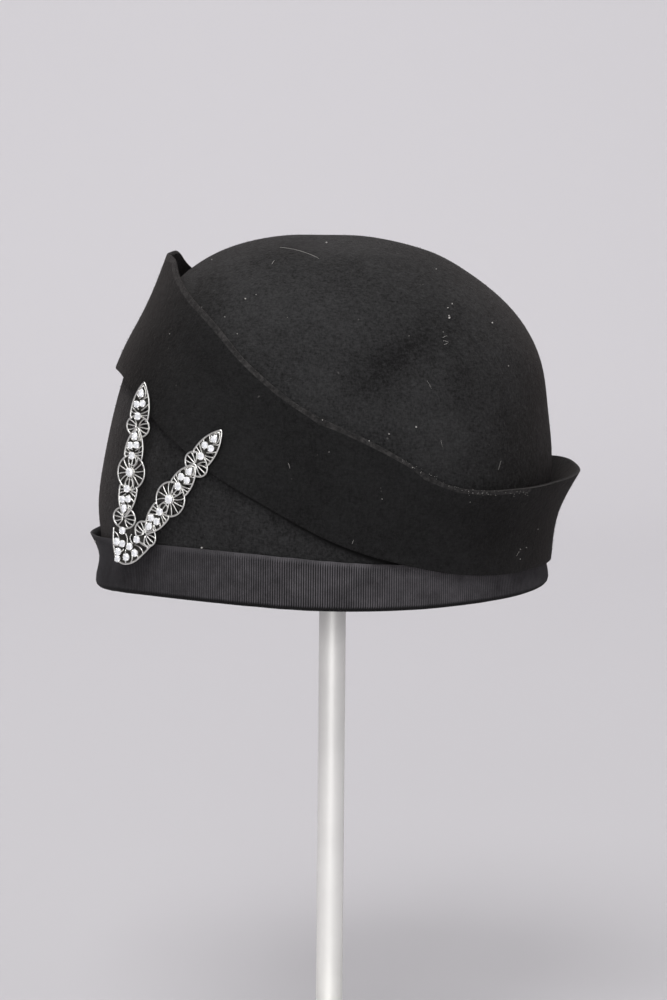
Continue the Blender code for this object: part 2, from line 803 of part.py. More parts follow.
def main():
    for thing in list(bpy.data.objects):
        bpy.data.objects.remove(thing)
    felt = material("black_felt", (0.016, 0.016, 0.017), 0.95)
    ribbon = material("black_ribbon", (0.028, 0.027, 0.028), 0.7)
    silver = material("brooch_silver", (0.78, 0.77, 0.74), 0.25, 1.0)
    crystal = material("clear_stone", (0.92, 0.93, 0.95), 0.05)
    metal = material("stand_metal", (0.72, 0.71, 0.69), 0.3, 1.0)
    build_crown(felt)
    build_cuff(felt)
    build_ribbon(ribbon)
    build_brooch(silver, crystal)
    build_base(metal)
    build_pole(metal)
    build_seat(metal)


main()
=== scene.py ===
import json
import math

import bmesh
import bpy
import numpy as np
from mathutils import Matrix, Vector, noise
from mathutils.bvhtree import BVHTree

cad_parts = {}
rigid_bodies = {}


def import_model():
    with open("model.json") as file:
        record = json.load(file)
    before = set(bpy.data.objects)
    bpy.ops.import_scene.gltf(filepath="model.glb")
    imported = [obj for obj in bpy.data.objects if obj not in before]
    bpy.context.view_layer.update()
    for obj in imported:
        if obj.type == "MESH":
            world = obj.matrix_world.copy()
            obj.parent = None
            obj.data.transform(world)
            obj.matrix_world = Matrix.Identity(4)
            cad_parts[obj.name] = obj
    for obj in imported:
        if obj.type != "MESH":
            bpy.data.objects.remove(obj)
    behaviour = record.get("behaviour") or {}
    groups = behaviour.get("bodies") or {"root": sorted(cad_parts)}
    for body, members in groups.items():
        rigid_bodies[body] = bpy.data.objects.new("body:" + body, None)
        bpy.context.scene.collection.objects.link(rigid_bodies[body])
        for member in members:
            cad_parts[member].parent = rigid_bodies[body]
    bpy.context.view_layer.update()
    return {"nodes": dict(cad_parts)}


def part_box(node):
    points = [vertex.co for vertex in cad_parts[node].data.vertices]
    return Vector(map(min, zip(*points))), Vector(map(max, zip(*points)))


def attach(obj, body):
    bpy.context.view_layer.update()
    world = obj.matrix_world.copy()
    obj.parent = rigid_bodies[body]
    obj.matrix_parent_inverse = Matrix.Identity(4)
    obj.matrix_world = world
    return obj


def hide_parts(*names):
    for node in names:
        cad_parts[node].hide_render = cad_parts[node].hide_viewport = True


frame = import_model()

bl_info = {
    "name": "Felt cloche on its stand",
    "version": (1, 0, 0),
    "blender": (4, 5, 0),
    "location": "3D View > Sidebar > Cloche",
    "description": "Dresses the hat's solids in felt, ribbon, silver and cut stones",
    "category": "Object",
}

MM = 0.001
UP = Vector((0, 0, 1))
NODES = frame["nodes"]
STONE_NODES = sorted(name for name in NODES if name.startswith("brooch_stone_"))
FULL_TURN = 2 * math.pi


def length(name, description, millimetres):
    return bpy.props.FloatProperty(
        name=name, description=description, default=millimetres * MM, unit="LENGTH", precision=5
    )


def angle(name, description, degrees):
    return bpy.props.FloatProperty(
        name=name, description=description, default=math.radians(degrees), subtype="ANGLE"
    )


def colour(name, description, value):
    return bpy.props.FloatVectorProperty(
        name=name, description=description, default=value, subtype="COLOR", min=0, max=1
    )


def number(name, description, value):
    return bpy.props.IntProperty(name=name, description=description, default=value, min=1)


class FeltSettings(bpy.types.PropertyGroup):
    crown_tone: colour("Crown", "Colour of the crown's felt", (0.0174, 0.0173, 0.0177))
    cuff_tone: colour("Cuff", "Colour of the cuff's felt", (0.0095, 0.0095, 0.0097))
    # The cut edge colour is a painted highlight on the upper cut edge.
    cut_highlight_tone: colour("Cut edge", "Colour of the felt where it is cut", (0.044, 0.0418, 0.0412))
    nap_tone: colour("Nap", "Colour of the loose fibres", (0.031, 0.0275, 0.026))
    lint_tone: colour("Lint", "Colour of the specks that lie on the felt", (0.50, 0.48, 0.46))
    wave: length("Waviness", "How far the felt wanders from an even shape", 0.30)
    cut_round: length("Cut edge round", "Rounding of the cut edges", 0.26)
    nap_length: length("Nap length", "Length of the longest loose fibres", 1.1)
    nap_width: length("Nap width", "Width of a loose fibre at its root", 0.07)
    nap_count: number("Nap count", "How many loose fibres each felt piece has", 15000)


class RibbonSettings(bpy.types.PropertyGroup):
    tone: colour("Ribbon", "Colour of the ribbon", (0.0290, 0.0272, 0.0295))
    ribs: number("Ribs", "How many ribs go round the hat", 572)
    rib_depth: length("Rib depth", "How far the ribs stand out of the grooves", 0.20)
    wall: length("Thickness", "Thickness of the ribbon", 0.7)
    turn_in: length("Turn in", "How far the ribbon goes up inside the rim", 7.0)
    selvedge: length("Selvedge", "Width of the plain edge of the ribbon", 0.9)


class BroochSettings(bpy.types.PropertyGroup):
    silver: colour("Silver", "Colour of the bright metal", (0.90, 0.89, 0.86))
    tarnish: colour("Tarnish", "Colour of the metal in its recesses", (0.075, 0.072, 0.066))
    stone: colour("Stones", "Colour of the cut stones", (0.93, 0.94, 0.97))
    rim_wire: length("Rim wire", "Thickness of the wire round each leaf, fan and wheel", 0.85)
    rib_wire: length("Rib wire", "Thickness of the spokes, ribs and bars", 0.55)
    plate_drop: length("Plate drop", "How far the pierced plate lies below its wires", 0.45)


class StandSettings(bpy.types.PropertyGroup):
    metal: colour("Metal", "Colour of the satin metal", (0.99, 0.98, 0.95))
    edge_round: length("Edge round", "Rounding of the foot's edges", 2.0)


class StageSettings(bpy.types.PropertyGroup):
    azimuth: angle("Azimuth", "The camera's turn round the hat", 90)
    elevation: angle("Elevation", "The camera's height as an angle", 7)
    roll: angle("Roll", "The camera's roll", 0.5)
    distance: length("Distance", "From the camera to the hat", 1600)
    aim: length("Aim height", "Height that the camera looks at", 261.85)
    lens: bpy.props.FloatProperty(
        name="Lens",
        description="Focal length on a 36 mm sensor",
        default=129.1,
        subtype="DISTANCE_CAMERA",
    )
    paper: colour("Paper", "Colour of the backdrop", (0.72, 0.70, 0.725))


GROUPS = {
    "cloche_felt": FeltSettings,
    "cloche_ribbon": RibbonSettings,
    "cloche_brooch": BroochSettings,
    "cloche_stand": StandSettings,
    "cloche_stage": StageSettings,
}


# Materials


class Level:
    """A value in a material. An expression on levels adds its Math nodes."""

    def __init__(self, finish, socket):
        self.finish = finish
        self.socket = socket

    def math(self, operation, other):
        node = self.finish.node("ShaderNodeMath", {"operation": operation}, {0: self, 1: other})
        return Level(self.finish, node.outputs[0])

    def __add__(self, other):
        return self.math("ADD", other)

    __radd__ = __add__

    def __mul__(self, other):
        return self.math("MULTIPLY", other)

    __rmul__ = __mul__

    def __sub__(self, other):
        return self.math("SUBTRACT", other)

    def __rsub__(self, other):
        return (self * -1) + other

    def clamped(self):
        return self.math("MAXIMUM", 0.0).math("MINIMUM", 1.0)

    def over(self, low, high):
        """0 below low, 1 above high, and a straight line between."""
        return ((self - low) * (1 / (high - low))).clamped()


class Finish:
    """A material under construction."""

    def __init__(self, name):
        self.material = bpy.data.materials.new(name)
        self.material.use_nodes = True
        self.tree = self.material.node_tree
        self.shader = self.tree.nodes["Principled BSDF"]

    def node(self, kind, settings=None, sockets=None):
        made = self.tree.nodes.new(kind)
        for key, value in (settings or {}).items():
            setattr(made, key, value)
        for key, value in (sockets or {}).items():
            self.feed(made.inputs[key], value)
        return made

    def feed(self, socket, value):
        if isinstance(value, Level):
            value = value.socket
        if isinstance(value, bpy.types.NodeSocket):
            self.tree.links.new(value, socket)
        else:
            socket.default_value = value

    def places(self, stretch=(1, 1, 1)):
        """Object coordinates, stretched along each axis."""
        source = self.node("ShaderNodeTexCoord").outputs["Object"]
        mapping = self.node("ShaderNodeMapping", None, {"Vector": source, "Scale": stretch})
        return mapping.outputs[0]

    def along(self, axis):
        """How far along an axis, 0 to 2, a point of the piece is."""
        split = self.node("ShaderNodeSeparateXYZ", None, {0: self.places()})
        return Level(self, split.outputs[axis])

    def mottle(self, size, detail=3.0, rough=0.55, stretch=(1, 1, 1), seed=0.0):
        """Soft noise with blotches of about a size."""
        sockets = {"Vector": self.places(stretch), "W": seed, "Scale": 1.0 / size}
        sockets |= {"Detail": detail, "Roughness": rough}
        node = self.node("ShaderNodeTexNoise", {"noise_dimensions": "4D"}, sockets)
        return Level(self, node.outputs["Fac"])

    def attribute(self, name):
        node = self.node("ShaderNodeAttribute", {"attribute_name": name})
        return Level(self, node.outputs["Fac"])

    def blend(self, share, first, second):
        """One colour fading into another."""
        node = self.node("ShaderNodeMix", {"data_type": "RGBA"})
        self.feed(node.inputs[0], share)
        self.feed(node.inputs[6], first)
        self.feed(node.inputs[7], second)
        return node.outputs[2]

    def bump(self, height, strength, distance):
        sockets = {"Height": height, "Strength": strength, "Distance": distance}
        return self.node("ShaderNodeBump", None, sockets).outputs[0]

    def set(self, **values):
        for name, value in values.items():
            self.feed(self.shader.inputs[name.replace("_", " ")], value)
        return self.material


def rgba(tone, share=1.0):
    return (tone[0] * share, tone[1] * share, tone[2] * share, 1)


def felt_finish(name, tone, rough_look, cuff_shadow_attribute=None):
    """Wool felt: clumps, fibres every way, pale dust, painted light and shade, highlight and
    shadow.
    """
    felt = bpy.context.scene.cloche_felt
    finish = Finish(name)
    blotch = finish.mottle(0.030, 2.0, 0.5)
    clump = finish.mottle(0.0034, 3.0, 0.65, seed=1.0)
    grain = finish.mottle(0.0012, 3.0, 0.7, seed=3.0)
    hair = finish.mottle(0.0020, 2.0, 0.6, stretch=(1, 1, 3.2), seed=5.0)
    cross_hair = finish.mottle(0.0020, 2.0, 0.6, stretch=(3.2, 3.2, 0.8), seed=8.0)
    shade = blotch * 0.5 + clump * 0.5 + grain * 1.1 + hair * 0.5 + cross_hair * 0.5
    # Patches of painted light and shade, lighter or darker where dents and edges catch or lose the
    # light.
    shade = shade + finish.attribute("brushed") * 0.26
    light, dark = 1 + 0.95 * rough_look, 1 - 0.55 * rough_look
    base = finish.blend(shade.over(1.26, 1.84), rgba(tone, dark), rgba(tone, light))
    dust = finish.mottle(0.0024, 1.0, 0.5, seed=12.0).over(0.765, 0.80)
    dusted = finish.blend(dust * 0.30, base, rgba(felt.lint_tone, 0.35))
    # Painted highlight: a lighter, ragged line on the upward rounding of the upper cut edge.
    cut = finish.attribute("cut_edge").over(0.982, 0.998)
    cut = cut * (1 - finish.attribute("cut_inside").over(0.35, 0.65))
    cut_grain = finish.mottle(0.0016, 2.0, 0.6, seed=21.0).over(0.42, 0.62)
    cut_patch = finish.mottle(0.009, 2.0, 0.6, seed=23.0).over(0.36, 0.60)
    cut_highlight_share = cut * (cut_grain * 0.7 + 0.3) * (cut_patch * 0.5 + 0.5)
    edged = finish.blend(cut_highlight_share, dusted, rgba(felt.cut_highlight_tone))
    # Painted shadow on the crown just under the cuff's lower edge.
    if cuff_shadow_attribute:
        over = finish.attribute(cuff_shadow_attribute)
        shadow = over.over(-0.0026, -0.0011) * (1 - over.over(0.004, 0.006))
        edged = finish.blend(shadow, edged, rgba(tone, 0.2))
    height = clump * 0.8 + grain * 0.6 + hair * 0.5 + cross_hair * 0.5
    return finish.set(
        Base_Color=edged,
        Roughness=grain * 0.1 + 0.86,
        Normal=finish.bump(height, 0.9, 0.0007),
        Sheen_Weight=0.05,
        Sheen_Roughness=0.5,
        Sheen_Tint=(0.85, 0.72, 0.68, 1),
        Specular_IOR_Level=0.10,
    )


def nap_finish():
    felt = bpy.context.scene.cloche_felt
    finish = Finish("loose_wool")
    tone = finish.mottle(0.004, 1.0, 0.5)
    dark, light = rgba(felt.nap_tone, 0.35), rgba(felt.nap_tone, 1.1)
    base = finish.blend(tone.over(0.35, 0.65), dark, light)
    return finish.set(Base_Color=base, Roughness=tone * 0.1 + 0.8, Specular_IOR_Level=0.2)


def lint_finish():
    felt = bpy.context.scene.cloche_felt
    finish = Finish("pale_lint")
    tone = finish.mottle(0.0004, 2.0, 0.6)
    base = finish.blend(tone.over(0.3, 0.7), rgba(felt.lint_tone, 0.7), rgba(felt.lint_tone))
    bump = finish.bump(tone, 0.4, 0.0002)
    return finish.set(Base_Color=base, Roughness=tone * 0.1 + 0.8, Normal=bump)


def ribbon_finish():
    """Ribbed ribbon: painted shade in the grooves, painted sheen on the ribs, threads across the
    ribs, worn patches and a low silky gloss.
    """
    ribbon = bpy.context.scene.cloche_ribbon
    finish = Finish("ribbed_ribbon")
    groove = finish.attribute("groove")
    thread = finish.mottle(0.0005, 1.0, 0.5, stretch=(0.7, 0.7, 2.5))
    fade = finish.mottle(0.012, 3.0, 0.55, seed=4.0)
    worn = finish.mottle(0.004, 3.0, 0.7, seed=7.0)
    shade = (thread * 0.35 + fade * 0.55 + worn * 0.45).over(0.50, 0.86)
    # Dim and bright copies of the ribbon's tone: a painted sheen on the ribs.
    dim = finish.blend(shade, rgba(ribbon.tone, 0.68), rgba(ribbon.tone, 1.50))
    bright = finish.blend(shade, rgba(ribbon.tone, 1.7), rgba(ribbon.tone, 4.3))
    ribs = finish.blend(finish.attribute("bright"), dim, bright)
    return finish.set(
        # Painted shade in the grooves and over the roll.
        Base_Color=finish.blend(groove.over(0.0, 0.62), ribs, rgba(ribbon.tone, 0.04)),
        Roughness=thread * 0.15 + 0.55,
        Normal=finish.bump(thread + worn, 0.35, 0.0002),
        Specular_IOR_Level=0.15,
    )


def silver_finish():
    """Bright plated metal, duller and darker in its recesses."""
    brooch = bpy.context.scene.cloche_brooch
    finish = Finish("bright_silver")
    recess = finish.attribute("recess")
    wear = finish.mottle(0.0012, 3.0, 0.6)
    dark = (recess + wear * 0.5 - 0.24).clamped()
    base = finish.blend(dark, rgba(brooch.silver), rgba(brooch.tarnish))
    return finish.set(
        Base_Color=base,
        Metallic=1.0,
        Roughness=wear * 0.14 + recess * 0.2 + 0.22,
        Normal=finish.bump(wear, 0.15, 0.0001),
    )


def stone_finish():
    """Foil-backed cut glass: hard facets that throw back the light, and a faint painted glow."""
    brooch = bpy.context.scene.cloche_brooch
    finish = Finish("cut_glass")
    depth = finish.mottle(0.0014, 1.0, 0.5)
    base = finish.blend(depth.over(0.35, 0.65), rgba(brooch.stone, 0.70), rgba(brooch.stone))
    return finish.set(
        Base_Color=base,
        Metallic=0.25,
        Roughness=depth * 0.05 + 0.06,
        Coat_Weight=1.0,
        Coat_Roughness=0.02,
        # Painted light: the stones glow faintly in their own colour.
        Emission_Color=base,
        Emission_Strength=0.22,
    )


def metal_finish(name, metallic):
    """Satin metal with fine turning marks, and a painted shadow just under the hat."""
    stand = bpy.context.scene.cloche_stand
    finish = Finish(name)
    turned = finish.mottle(0.0006, 2.0, 0.6, stretch=(0.05, 0.05, 1.0))
    smear = finish.mottle(0.02, 3.0, 0.55, seed=2.0)
    base = finish.blend(smear.over(0.3, 0.7), rgba(stand.metal, 0.95), rgba(stand.metal))
    # Painted shadow of the hat: darker at the top of the pole.
    base = finish.blend(finish.along(2).over(0.196, 0.226), base, rgba(stand.metal, 0.62))
    return finish.set(
        Base_Color=base,
        Metallic=metallic,
        Roughness=turned * 0.08 + smear * 0.06 + 0.44,
        Normal=finish.bump(turned, 0.12, 0.00005),
    )


def paper_finish():
    """Matt paper, a little darker where it comes forward along the floor: painted shade."""
    stage = bpy.context.scene.cloche_stage
    finish = Finish("backdrop_paper")
    cloud = finish.mottle(0.9, 1.0, 0.4)
    # Painted shade: the floor darkens toward the camera.
    near = finish.along(0).over(-2.3, -0.05)
    base = finish.blend((near + cloud * 0.1).clamped(), rgba(stage.paper), rgba(stage.paper, 0.73))
    return finish.set(Base_Color=base, Roughness=0.9)


# Shapes


def mesh_of(bm, name):
    """Turns a finished bmesh into a mesh."""
    mesh = bpy.data.meshes.new(name)
    bm.to_mesh(mesh)
    bm.free()
    return mesh


def take_in(bm, mesh):
    """Adds a mesh to a bmesh, and removes the mesh."""
    bm.from_mesh(mesh)
    bpy.data.meshes.remove(mesh)


def added(name, data):
    """A new object in the scene."""
    made = bpy.data.objects.new(name, data)
    bpy.context.scene.collection.objects.link(made)
    return made


def piece(name, bm, finish, replaced=(), sharp=None):
    """A piece of the object from a bmesh, shaded smooth but for edges over the sharp angle."""
    return dressed(name, mesh_of(bm, name), finish, replaced, sharp)


def dressed(name, mesh, finish, replaced=(), sharp=None):
    if sharp == 0:
        mesh.shade_flat()
    else:
        mesh.shade_smooth()
        if sharp:
            mesh.set_sharp_from_angle(angle=math.radians(sharp))
    mesh.materials.append(finish)
    made = added(name, mesh)
    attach(made, "root")
    if replaced:
        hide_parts(*replaced)
    return made


def coated(node, finish):
    """Puts a finish on a CAD node that keeps its plain solid."""
    solid = NODES[node]
    solid.data.materials.clear()
    solid.data.materials.append(finish)


def copied(node):
    """A CAD node's shape as a bmesh, merged, with its triangles paired into four-sided faces."""
    bm = bmesh.new()
    bm.from_mesh(NODES[node].data)
    bmesh.ops.remove_doubles(bm, verts=bm.verts, dist=0.00001)
    face_limit, shape_limit = math.radians(40), math.radians(80)
    bmesh.ops.join_triangles(
        bm, faces=bm.faces, angle_face_threshold=face_limit, angle_shape_threshold=shape_limit
    )
    return bm


def softened(made, levels):
    smooth = made.modifiers.new("Smooth", "SUBSURF")
    smooth.levels = smooth.render_levels = levels
    return made


def final_mesh(made):
    """The mesh of a piece with its modifiers."""
    graph = bpy.context.evaluated_depsgraph_get()
    return bpy.data.meshes.new_from_object(made.evaluated_get(graph), depsgraph=graph)


def subdivided(bm, levels):
    """The mesh of a bmesh's shape after a Subdivision Surface."""
    rough = added("rough", mesh_of(bm, "rough"))
    mesh = final_mesh(softened(rough, levels))
    bpy.data.meshes.remove(rough.data)
    return mesh


def sight_tree(mesh):
    """The surface of a mesh, ready for sight lines. The mesh is removed."""
    spots = [v.co for v in mesh.vertices]
    tree = BVHTree.FromPolygons(spots, [tuple(f.vertices) for f in mesh.polygons])
    bpy.data.meshes.remove(mesh)
    return tree


def sharp_edges(bm, degrees):
    """The edges that turn by more than an angle."""
    limit = math.radians(degrees)
    return [e for e in bm.edges if len(e.link_faces) == 2 and e.calc_face_angle() > limit]


def rounded(bm, edges, width, segments):
    """Rounds edges, and returns the new vertices."""
    return bmesh.ops.bevel(
        bm, geom=edges, offset=width, affect="EDGES", segments=segments, profile=0.5, material=-1
    )["verts"]


def repeated(name, bm, places):
    """A mesh of one small shape at each of many places."""
    shape = mesh_of(bm, "shape")
    corners = np.array([v.co for v in shape.vertices])
    loops = np.array([loop.vertex_index for loop in shape.loops])
    sizes = np.array([face.loop_total for face in shape.polygons])
    places = np.array(places)
    spots = np.einsum("kij,nj->kni", places[:, :3, :3], corners) + places[:, None, :3, 3]
    count = len(places)
    mesh = bpy.data.meshes.new(name)
    mesh.vertices.add(count * len(corners))
    mesh.vertices.foreach_set("co", spots.ravel())
    mesh.loops.add(count * len(loops))
    indices = np.arange(count)[:, None] * len(corners) + loops
    mesh.loops.foreach_set("vertex_index", indices.ravel())
    mesh.polygons.add(count * len(sizes))
    starts = np.concatenate([[0], np.cumsum(np.tile(sizes, count))[:-1]])
    mesh.polygons.foreach_set("loop_start", starts)
    mesh.update(calc_edges=True)
    bpy.data.meshes.remove(shape)
    return mesh


def wire(bm, points, radius, sides=8, up=UP, closed=False):
    """A round wire along points, with flat ends where it is open."""
    points = [Vector(p) for p in points]
    last = len(points) - 1
    made = bmesh.new()
    rings = []
    for k, point in enumerate(points):
        before = points[k - 1] if closed or k else point
        after = points[(k + 1) % len(points)] if closed or k < last else point
        along = (after - before).normalized()
        side = along.cross(up).normalized()
        turned = Matrix((side, along.cross(side), along)).transposed().to_4x4()
        place = Matrix.Translation(point) @ turned
        capped = not closed and k in (0, last)
        circle = bmesh.ops.create_circle(
            made, cap_ends=capped, segments=sides, radius=radius, matrix=place
        )
        rings.append({edge for vert in circle["verts"] for edge in vert.link_edges})
    for one, other in zip(rings, [*rings[1:], *rings[: 1 if closed else 0]]):
        bmesh.ops.bridge_loops(made, edges=[*one, *other])
    bmesh.ops.recalc_face_normals(made, faces=made.faces)
    take_in(bm, mesh_of(made, "wire"))


# Felt


def turn_of(spot):
    """How far round the hat a point is, from the front toward the wearer's left."""
    return math.atan2(spot.x, -spot.y)


def level_way(spot):
    """The level way out through a point."""
    return Vector((spot.x, spot.y, 0)).normalized()


WAVES_PER_METRE = 28


def wavy(bm, size):
    """Moves both faces of a felt wall together, by soft noise."""
    for vert in bm.verts:
        spot = vert.co * WAVES_PER_METRE
        drift = [noise.noise(spot + UP * apart) for apart in (0, 40, 80)]
        vert.co += Vector((drift[0], drift[1], 0.5 * drift[2])) * size


def bell(distance, width):
    return math.exp(-((distance / width) ** 2))


def ramp(value, start, width):
    """0 up to start, 1 from a width past it, and a straight line between."""
    return min(max((value - start) / width, 0), 1)


def eased(bm, pushes):
    """Pushes a wall outward in places."""
    for vert in bm.verts:
        turn = math.degrees(turn_of(vert.co))
        way = level_way(vert.co)
        for centre, height, push, turn_width, height_width in pushes:
            apart = abs((turn - centre + 180) % 360 - 180)
            vert.co += way * push * bell(apart, turn_width) * bell(vert.co.z - height, height_width)


# Turn from the front in degrees, height, push outward, and half widths in turn and in height.
BACK_AND_FRONT = (
    (180, 0.345, 0.0012, 42, 0.030),
    (180, 0.316, 0.0010, 42, 0.020),
    (180, 0.272, 0.0020, 42, 0.022),
    (180, 0.226, 0.0020, 42, 0.014),
    (0, 0.336, 0.0018, 30, 0.012),
)
CROWN_FRONT = ((0, 0.360, 0.0018, 26, 0.010),)
# The two low humps on top: distance behind the middle and half width, and their height.
HUMPS, HUMP_HIGH = ((-0.029, 0.012), (0.013, 0.011)), 0.9 * MM
# Where the cuff stands higher on its far side: distance behind the middle, half width, the height
# from which it rises, and by how much.
FAR_SIDE = ((-0.066, 0.012, 0.325, 0.0035), (0.082, 0.045, 0.25, 0.0030))
# How far the cuff's lower edge is lifted, and the height from which the crown's dents are pushed.
CUFF_LIFT, CROWN_MIDDLE = 1.1 * MM, 0.26
# Soft forms on the wearer's left: distance behind the middle and height in millimetres, tilt in
# degrees, half length and half width in millimetres, and how far out it is pushed in millimetres,
# or how much painted light (above 0) or painted shade (below 0) it lays on the felt's colour.
CROWN_DENTS = (
    (27.0, 324.5, 33, 27, 9.5, -2.4),
    (2.0, 316.0, 20, 18, 9.0, 1.0),
    (80.0, 292.0, 90, 20, 12.0, -0.6),
)
CROWN_PAINTED_LIGHT_AND_SHADE = (
    (26.0, 329.5, 33, 23, 8.0, -0.85),
    (62.0, 333.0, 0, 12, 7.0, -0.4),
    (-8.5, 322.5, 0, 16, 11.0, 0.5),
    (37.0, 302.5, 0, 22, 10.0, 0.4),
    (81.0, 290.0, 90, 22, 13.0, -0.8),
    (91.0, 326.0, 105, 28, 10.0, -0.9),
    (-35.0, 356.0, 0, 18, 9.0, 0.3),
    (-55.0, 355.0, 90, 13, 7.0, -0.5),
)
CUFF_PAINTED_LIGHT_AND_SHADE = (
    (-64.0, 338.0, 90, 12, 6.0, -0.4),
    (-84.0, 320.0, 70, 30, 10.0, -0.9),
    (-58.0, 314.0, 0, 12, 9.0, 0.4),
    (66.0, 260.0, 160, 24, 9.0, -0.7),
    (98.0, 245.0, 90, 22, 8.0, -0.5),
)


def patch_sum(spot, patches):
    """What soft patches on the wearer's left add up to at a spot."""
    total = 0
    for behind, height, tilt, long, wide, amount in patches:
        away = Vector((spot.y - behind * MM, spot.z - height * MM))
        turned = Matrix.Rotation(math.radians(-tilt), 2) @ away
        total += amount * bell(turned.x, long * MM) * bell(turned.y, wide * MM)
    return total * ramp(spot.x, 0, 0.02)


def brushed(bm, patches):
    """Marks the patches of painted light and shade on the felt."""
    layer = bm.verts.layers.float.new("brushed")
    for vert in bm.verts:
        vert[layer] = patch_sum(vert.co, patches)


def over_lower_edge(bm, node):
    """Each vertex, how far round it is, and its height over the lower edge of a band."""
    edge = copied(node)
    low = {v for f in edge.faces if f.normal.z < -0.6 for v in f.verts}
    known, heights = zip(*sorted((turn_of(v.co), v.co.z) for v in low))
    edge.free()
    turns = [turn_of(v.co) for v in bm.verts]
    line = np.interp(turns, known, heights, period=FULL_TURN)
    return [(v, turn, v.co.z - z) for v, turn, z in zip(bm.verts, turns, line)]


def stood_off(bm, node, push):
    """Lifts the lower edge of a band away from what it lies on, at the sides of the front."""
    for vert, turn, above in over_lower_edge(bm, node):
        share = bell(above, 0.009) * bell(abs(math.degrees(turn)) - 55, 35)
        vert.co += level_way(vert.co) * push * share


def marked_cut(bm, width):
    """Rounds the cut edges of a felt wall and marks the upper one for a painted highlight."""
    edges = sharp_edges(bm, 50)
    cut = bm.verts.layers.float.new("cut_edge")
    inside = bm.verts.layers.float.new("cut_inside")
    for vert in {v for edge in edges for v in edge.verts}:
        way = level_way(vert.co)
        steps = [edge.other_vert(vert).co - vert.co for edge in vert.link_edges]
        vert[inside] = float(any(step.length < 0.004 and step.dot(way) > 0.001 for step in steps))
    round_verts = rounded(bm, edges, width, 2)
    bm.normal_update()
    for vert in round_verts:
        narrow = [face for face in vert.link_faces if face.calc_area() < 40 * MM**2]
        # Only the rounding that faces upward is marked, for the painted highlight.
        if sum((face.normal for face in narrow), Vector()).z > 0:
            vert[cut] = 1.0
            vert.co.z += noise.noise(vert.co * 90) * 0.0008


class CLOCHE_OT_crown(bpy.types.Operator):
    """Adds the felt crown, a soft shell with its dents"""

    bl_idname = "cloche.crown"
    bl_label = "Felt crown"

    def execute(self, context):
        felt = context.scene.cloche_felt
        bm = copied("crown")
        eased(bm, BACK_AND_FRONT)
        eased(bm, CROWN_FRONT)
        for vert in bm.verts:
            humps = sum(bell(vert.co.y - behind, wide) for behind, wide in HUMPS)
            vert.co.z += HUMP_HIGH * humps * ramp(vert.co.z, 0.345, 0.02)
        mesh = subdivided(bm, 1)
        bm = bmesh.new()
        take_in(bm, mesh)
        # Patches of painted light and shade over the crown's dents and edges.
        brushed(bm, CROWN_PAINTED_LIGHT_AND_SHADE)
        for vert in bm.verts:
            way = (vert.co - UP * CROWN_MIDDLE).normalized()
            vert.co += way * patch_sum(vert.co, CROWN_DENTS) * MM
        # Height over the cuff's lower edge, which places the painted shadow under it.
        layer = bm.verts.layers.float.new("over_cuff_edge")
        for vert, _, above in over_lower_edge(bm, "cuff"):
            vert[layer] = above
        wavy(bm, felt.wave)
        finish = felt_finish("crown_felt", felt.crown_tone, 1.0, "over_cuff_edge")
        made = piece("crown_felt", bm, finish, ["crown"])
        softened(made, 1)
        return {"FINISHED"}


class CLOCHE_OT_cuff(bpy.types.Operator):
    """Adds the felt cuff with its cut edges"""

    bl_idname = "cloche.cuff"
    bl_label = "Felt cuff"

    def execute(self, context):
        felt = context.scene.cloche_felt
        bm = copied("cuff")
        eased(bm, BACK_AND_FRONT)
        for vert in bm.verts:
            x, y, z = vert.co
            rises = (
                rise * bell(y - behind, wide) * ramp(z, start, 0.02)
                for behind, wide, start, rise in FAR_SIDE
            )
            vert.co.z += ramp(-x, 0.006, 0.015) * sum(rises)
        stood_off(bm, "cuff", CUFF_LIFT)
        # Patches of painted light and shade on the cuff.
        brushed(bm, CUFF_PAINTED_LIGHT_AND_SHADE)
        wavy(bm, felt.wave)
        marked_cut(bm, felt.cut_round)
        finish = felt_finish("cuff_felt", felt.cuff_tone, 0.8)
        made = piece("cuff_felt", bm, finish, ["cuff"])
        softened(made, 2)
        return {"FINISHED"}


def scattered(made, count, seed):
    """Places and directions spread evenly over the outside of a piece."""
    mesh = final_mesh(made)
    mesh.calc_loop_triangles()
    verts = np.array([v.co for v in mesh.vertices])
    faces = np.array([t.vertices for t in mesh.loop_triangles])
    a, b, c = (verts[faces[:, k]] for k in range(3))
    normals = np.cross(b - a, c - a)
    sizes = np.linalg.norm(normals, axis=1)
    middle = (a + b + c) / 3
    outward = ((middle - verts.mean(axis=0)) * normals).sum(axis=1) > 0
    weights = sizes * outward
    random = np.random.default_rng(seed)
    chosen = random.choice(len(faces), count, p=weights / weights.sum())
    u, v = random.random((2, count))
    u, v = np.where(u + v > 1, 1 - u, u), np.where(u + v > 1, 1 - v, v)
    spots = a[chosen] + (b - a)[chosen] * u[:, None] + (c - a)[chosen] * v[:, None]
    bpy.data.meshes.remove(mesh)
    return spots, normals[chosen] / sizes[chosen][:, None], random


# How far a fibre leans aside, how far out of the felt it has to point, and how far it does if not.
NAP_LEAN, NAP_LEAST, NAP_SET = 1.6, 0.15, 0.25


